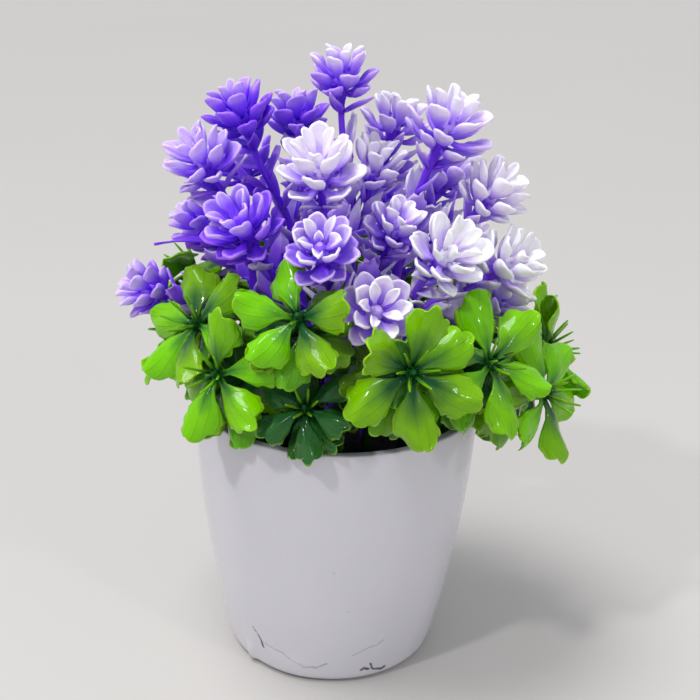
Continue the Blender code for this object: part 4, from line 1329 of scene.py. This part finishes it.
class PLANT_OT_pot(bpy.types.Operator):
    """Turn the pot from its profile, with a rolled rim and a rounded foot"""

    bl_idname = "plant.pot"
    bl_label = "Pot"

    def execute(self, context):
        settings = context.scene.plant_pot
        size = settings.height / POT_HEIGHT
        roll = 0.5 * LIP
        middle = RIM_RADIUS - roll
        turns = np.linspace(0, math.pi, RIM_STEPS)
        inner = [(0.0, FLOOR)] + [(pot_radius(FLOOR) - WALL - inset, FLOOR) for inset in FLOOR_RINGS]
        heights = list(np.linspace(FLOOR + FLOOR_CURVE, POT_HEIGHT - roll, WALL_STEPS))
        inner += [(float(pot_radius(z)) - WALL, z) for z in heights[:-2]]
        rim = [
            (middle - math.copysign(roll * abs(math.cos(a)) ** RIM_SQUARE, math.cos(a)),
             POT_HEIGHT - roll + roll * math.sin(a) ** RIM_SQUARE)
            for a in turns
        ]
        feet = [BASE_ROUND * (1 - math.cos(a)) for a in np.linspace(0, math.pi / 2, FOOT_STEPS)]
        outer = [(float(pot_radius(z)), z) for z in list(reversed(heights))[1:] if z > BASE_ROUND]
        outer += [(float(pot_radius(z)), z) for z in reversed(feet)]
        profile = inner + rim + outer + [(0.0, 0.0)]
        obj = lathe("white_pot", [(r * size, z * size) for r, z in profile], settings.segments)
        for first, last, top, depth in BULGES:
            for vertex in obj.data.vertices:
                x, y, z = vertex.co / size
                share = (math.degrees(math.atan2(x, -y)) - first) / (last - first)
                radius = math.hypot(x, y)
                if 0 < share < 1 and 0 < z < top and radius > pot_radius(z) - 0.5 * WALL:
                    push = depth * math.sin(math.pi * share) * math.sin(math.pi * z / top) ** 0.5
                    vertex.co += Vector((x, y, 0)) / radius * push * size
        obj.data.materials.append(pot_plastic(settings))
        finish_piece(obj, "pot", "pot")
        return {"FINISHED"}


class PLANT_OT_filler(bpy.types.Operator):
    """Fill the pot with dark foam, rough on top"""

    bl_idname = "plant.filler"
    bl_label = "Filler"

    def execute(self, context):
        settings = context.scene.plant_pot
        low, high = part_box("filler_plug")
        reach = high.x
        top = [(reach * share, high.z) for share in np.linspace(1, 0, FILLER_TOP_RINGS)]
        heights = np.linspace(low.z, high.z, FILLER_SIDE_RINGS)[:-1]
        side = [(float(pot_radius(z / MM) - WALL - PLUG_GAP) * MM, z) for z in heights]
        obj = lathe("dark_filler", [(0.0, low.z)] + side + top, FILLER_SEGMENTS)
        for vertex in obj.data.vertices:
            radius = math.hypot(vertex.co.x, vertex.co.y)
            if vertex.co.z > high.z - CLOSE and radius < reach - CLOSE:
                fine = FINE_SHARE * noise.noise(vertex.co / FINE_CRUMB)
                lump = noise.noise(vertex.co / COARSE_CRUMB) + fine
                vertex.co.z += settings.grit * (lump - SUNK)
        obj.data.materials.append(filler_foam(settings))
        finish_piece(obj, "plug", "filler_plug")
        return {"FINISHED"}


class PLANT_OT_flower_sprays(bpy.types.Operator):
    """Grow the flower sprays: stems, leaflets and heads of spoon-shaped petals"""

    bl_idname = "plant.flower_sprays"
    bl_label = "Flower sprays"

    def execute(self, context):
        settings = context.scene.plant_flowers
        tree = plant_tree("flower spray", ("petal", "bract", "leaflet"))
        plastics = {}
        for slot in ("violet", "lilac", "white"):
            colours = [getattr(settings, f"{slot}_{part}") for part in ("deep", "body", "tip")]
            plastics[slot] = petal_plastic(slot + "_polyethylene", *colours)
        for piece in plan()[0]:
            name = piece.node.replace("flower_", "")
            obj = grow(piece, name, tree, plastics[piece.slot], settings.thickness)
            finish_piece(obj, piece.slot, piece.node)
        return {"FINISHED"}


class PLANT_OT_leaf_sprigs(bpy.types.Operator):
    """Grow the leaf sprigs: stems, whorls of lobed leaves and the needles at their tips"""

    bl_idname = "plant.leaf_sprigs"
    bl_label = "Leaf sprigs"

    def execute(self, context):
        settings = context.scene.plant_leaves
        tree = plant_tree("leaf sprig", ("leaf", "needle"))
        plastic = leaf_plastic("green_polyethylene", settings.dark, settings.lime, settings.rim)
        for piece in plan()[1]:
            obj = grow(piece, piece.node.replace("leaf_", ""), tree, plastic, settings.thickness)
            finish_piece(obj, piece.slot, piece.node)
        return {"FINISHED"}


# The width of the camera's sensor in mm, and the nearest that it sees in metres
SENSOR_WIDTH = 36.0
CLIP_START = 0.01
# The lamps: their kind and place in metres, and what they point at
LAMPS = {
    "overhead": ("SUN", (-0.25, -0.05, 0.95)),
    "window": ("AREA", (-0.4, -0.45, 0.75)),
    "lamp": ("AREA", (0.45, -0.5, 0.55)),
}
LAMP_TARGET = Vector((0.0, 0.0, 0.09))


class PLANT_OT_stage(bpy.types.Operator):
    """Set the camera, the pale floor and the soft light"""

    bl_idname = "plant.stage"
    bl_label = "Stage"

    def execute(self, context):
        settings = context.scene.plant_stage
        scene = context.scene
        camera = shown("camera", bpy.data.cameras.new("camera"))
        cp, sp = math.cos(settings.pitch), math.sin(settings.pitch)
        cy, sy = math.cos(settings.yaw), math.sin(settings.yaw)
        ahead = Vector((sy * cp, cy * cp, -sp))
        level = Vector((cy, -sy, 0.0))
        above = level.cross(ahead)
        right = math.cos(settings.roll) * level + math.sin(settings.roll) * above
        up = math.cos(settings.roll) * above - math.sin(settings.roll) * level
        turn = Matrix((right, up, -ahead)).transposed().to_4x4()
        camera.matrix_world = Matrix.Translation(settings.camera_place) @ turn
        camera.data.lens = settings.lens
        camera.data.sensor_width = SENSOR_WIDTH
        camera.data.clip_start = CLIP_START
        scene.camera = camera

        mesh = bpy.data.meshes.new("floor")
        reach = settings.floor_reach
        corners = [(x * reach, y * reach, 0.0) for x, y in ((-1, -1), (1, -1), (1, 1), (-1, 1))]
        mesh.from_pydata(corners, [], [(0, 1, 2, 3)])
        mesh.materials.append(pale_floor(settings))
        shown("floor", mesh)

        powers = (settings.sun_strength, settings.window_power, settings.lamp_power)
        for (name, (kind, place)), power in zip(LAMPS.items(), powers):
            lamp = shown(name, bpy.data.lights.new(name, kind))
            lamp.data.energy = power
            if kind == "SUN":
                lamp.data.angle = settings.sun_width
            else:
                lamp.data.shape = "DISK"
                lamp.data.size = settings.lamp_width
            lamp.location = place
            lamp.rotation_mode = "QUATERNION"
            lamp.rotation_quaternion = (LAMP_TARGET - Vector(place)).to_track_quat("-Z", "Y")
        world = bpy.data.worlds.new("soft_room")
        world.use_nodes = True
        sky = world.node_tree.nodes["Background"]
        sky.inputs["Color"].default_value = settings.sky
        sky.inputs["Strength"].default_value = settings.sky_strength
        scene.world = world
        scene.view_settings.view_transform = "Standard"
        return {"FINISHED"}


class PLANT_PT_panel(bpy.types.Panel):
    """Lists the plant's settings and the steps that make it"""

    bl_idname = "PLANT_PT_panel"
    bl_label = "Potted plant"
    bl_space_type = "VIEW_3D"
    bl_region_type = "UI"
    bl_category = "Plant"

    def draw(self, context):
        for label, group, steps in (
            ("Pot", context.scene.plant_pot, (PLANT_OT_pot, PLANT_OT_filler)),
            ("Flowers", context.scene.plant_flowers, (PLANT_OT_flower_sprays,)),
            ("Leaves", context.scene.plant_leaves, (PLANT_OT_leaf_sprigs,)),
            ("Stage", context.scene.plant_stage, (PLANT_OT_stage,)),
        ):
            box = self.layout.box()
            box.label(text=label)
            for setting in group.__annotations__:
                box.prop(group, setting)
            for step in steps:
                box.operator(step.bl_idname)


SETTINGS = {
    "plant_pot": PotSettings,
    "plant_flowers": FlowerSettings,
    "plant_leaves": LeafSettings,
    "plant_stage": StageSettings,
}
STEPS = (PLANT_OT_pot, PLANT_OT_filler, PLANT_OT_flower_sprays, PLANT_OT_leaf_sprigs, PLANT_OT_stage)


def register():
    """Adds the operators and the panel, and gives each scene its settings."""
    for cls in (*SETTINGS.values(), *STEPS, PLANT_PT_panel):
        bpy.utils.register_class(cls)
    for name, cls in SETTINGS.items():
        setattr(bpy.types.Scene, name, bpy.props.PointerProperty(type=cls))


def unregister():
    """Takes all of that away again."""
    for name in SETTINGS:
        delattr(bpy.types.Scene, name)
    for cls in (PLANT_PT_panel, *reversed(STEPS), *SETTINGS.values()):
        bpy.utils.unregister_class(cls)


def main():
    """Registers the add-on and runs its steps in order."""
    register()
    for step in STEPS:
        group, name = step.bl_idname.split(".")
        getattr(getattr(bpy.ops, group), name)()


if __name__ == "__main__":
    main()
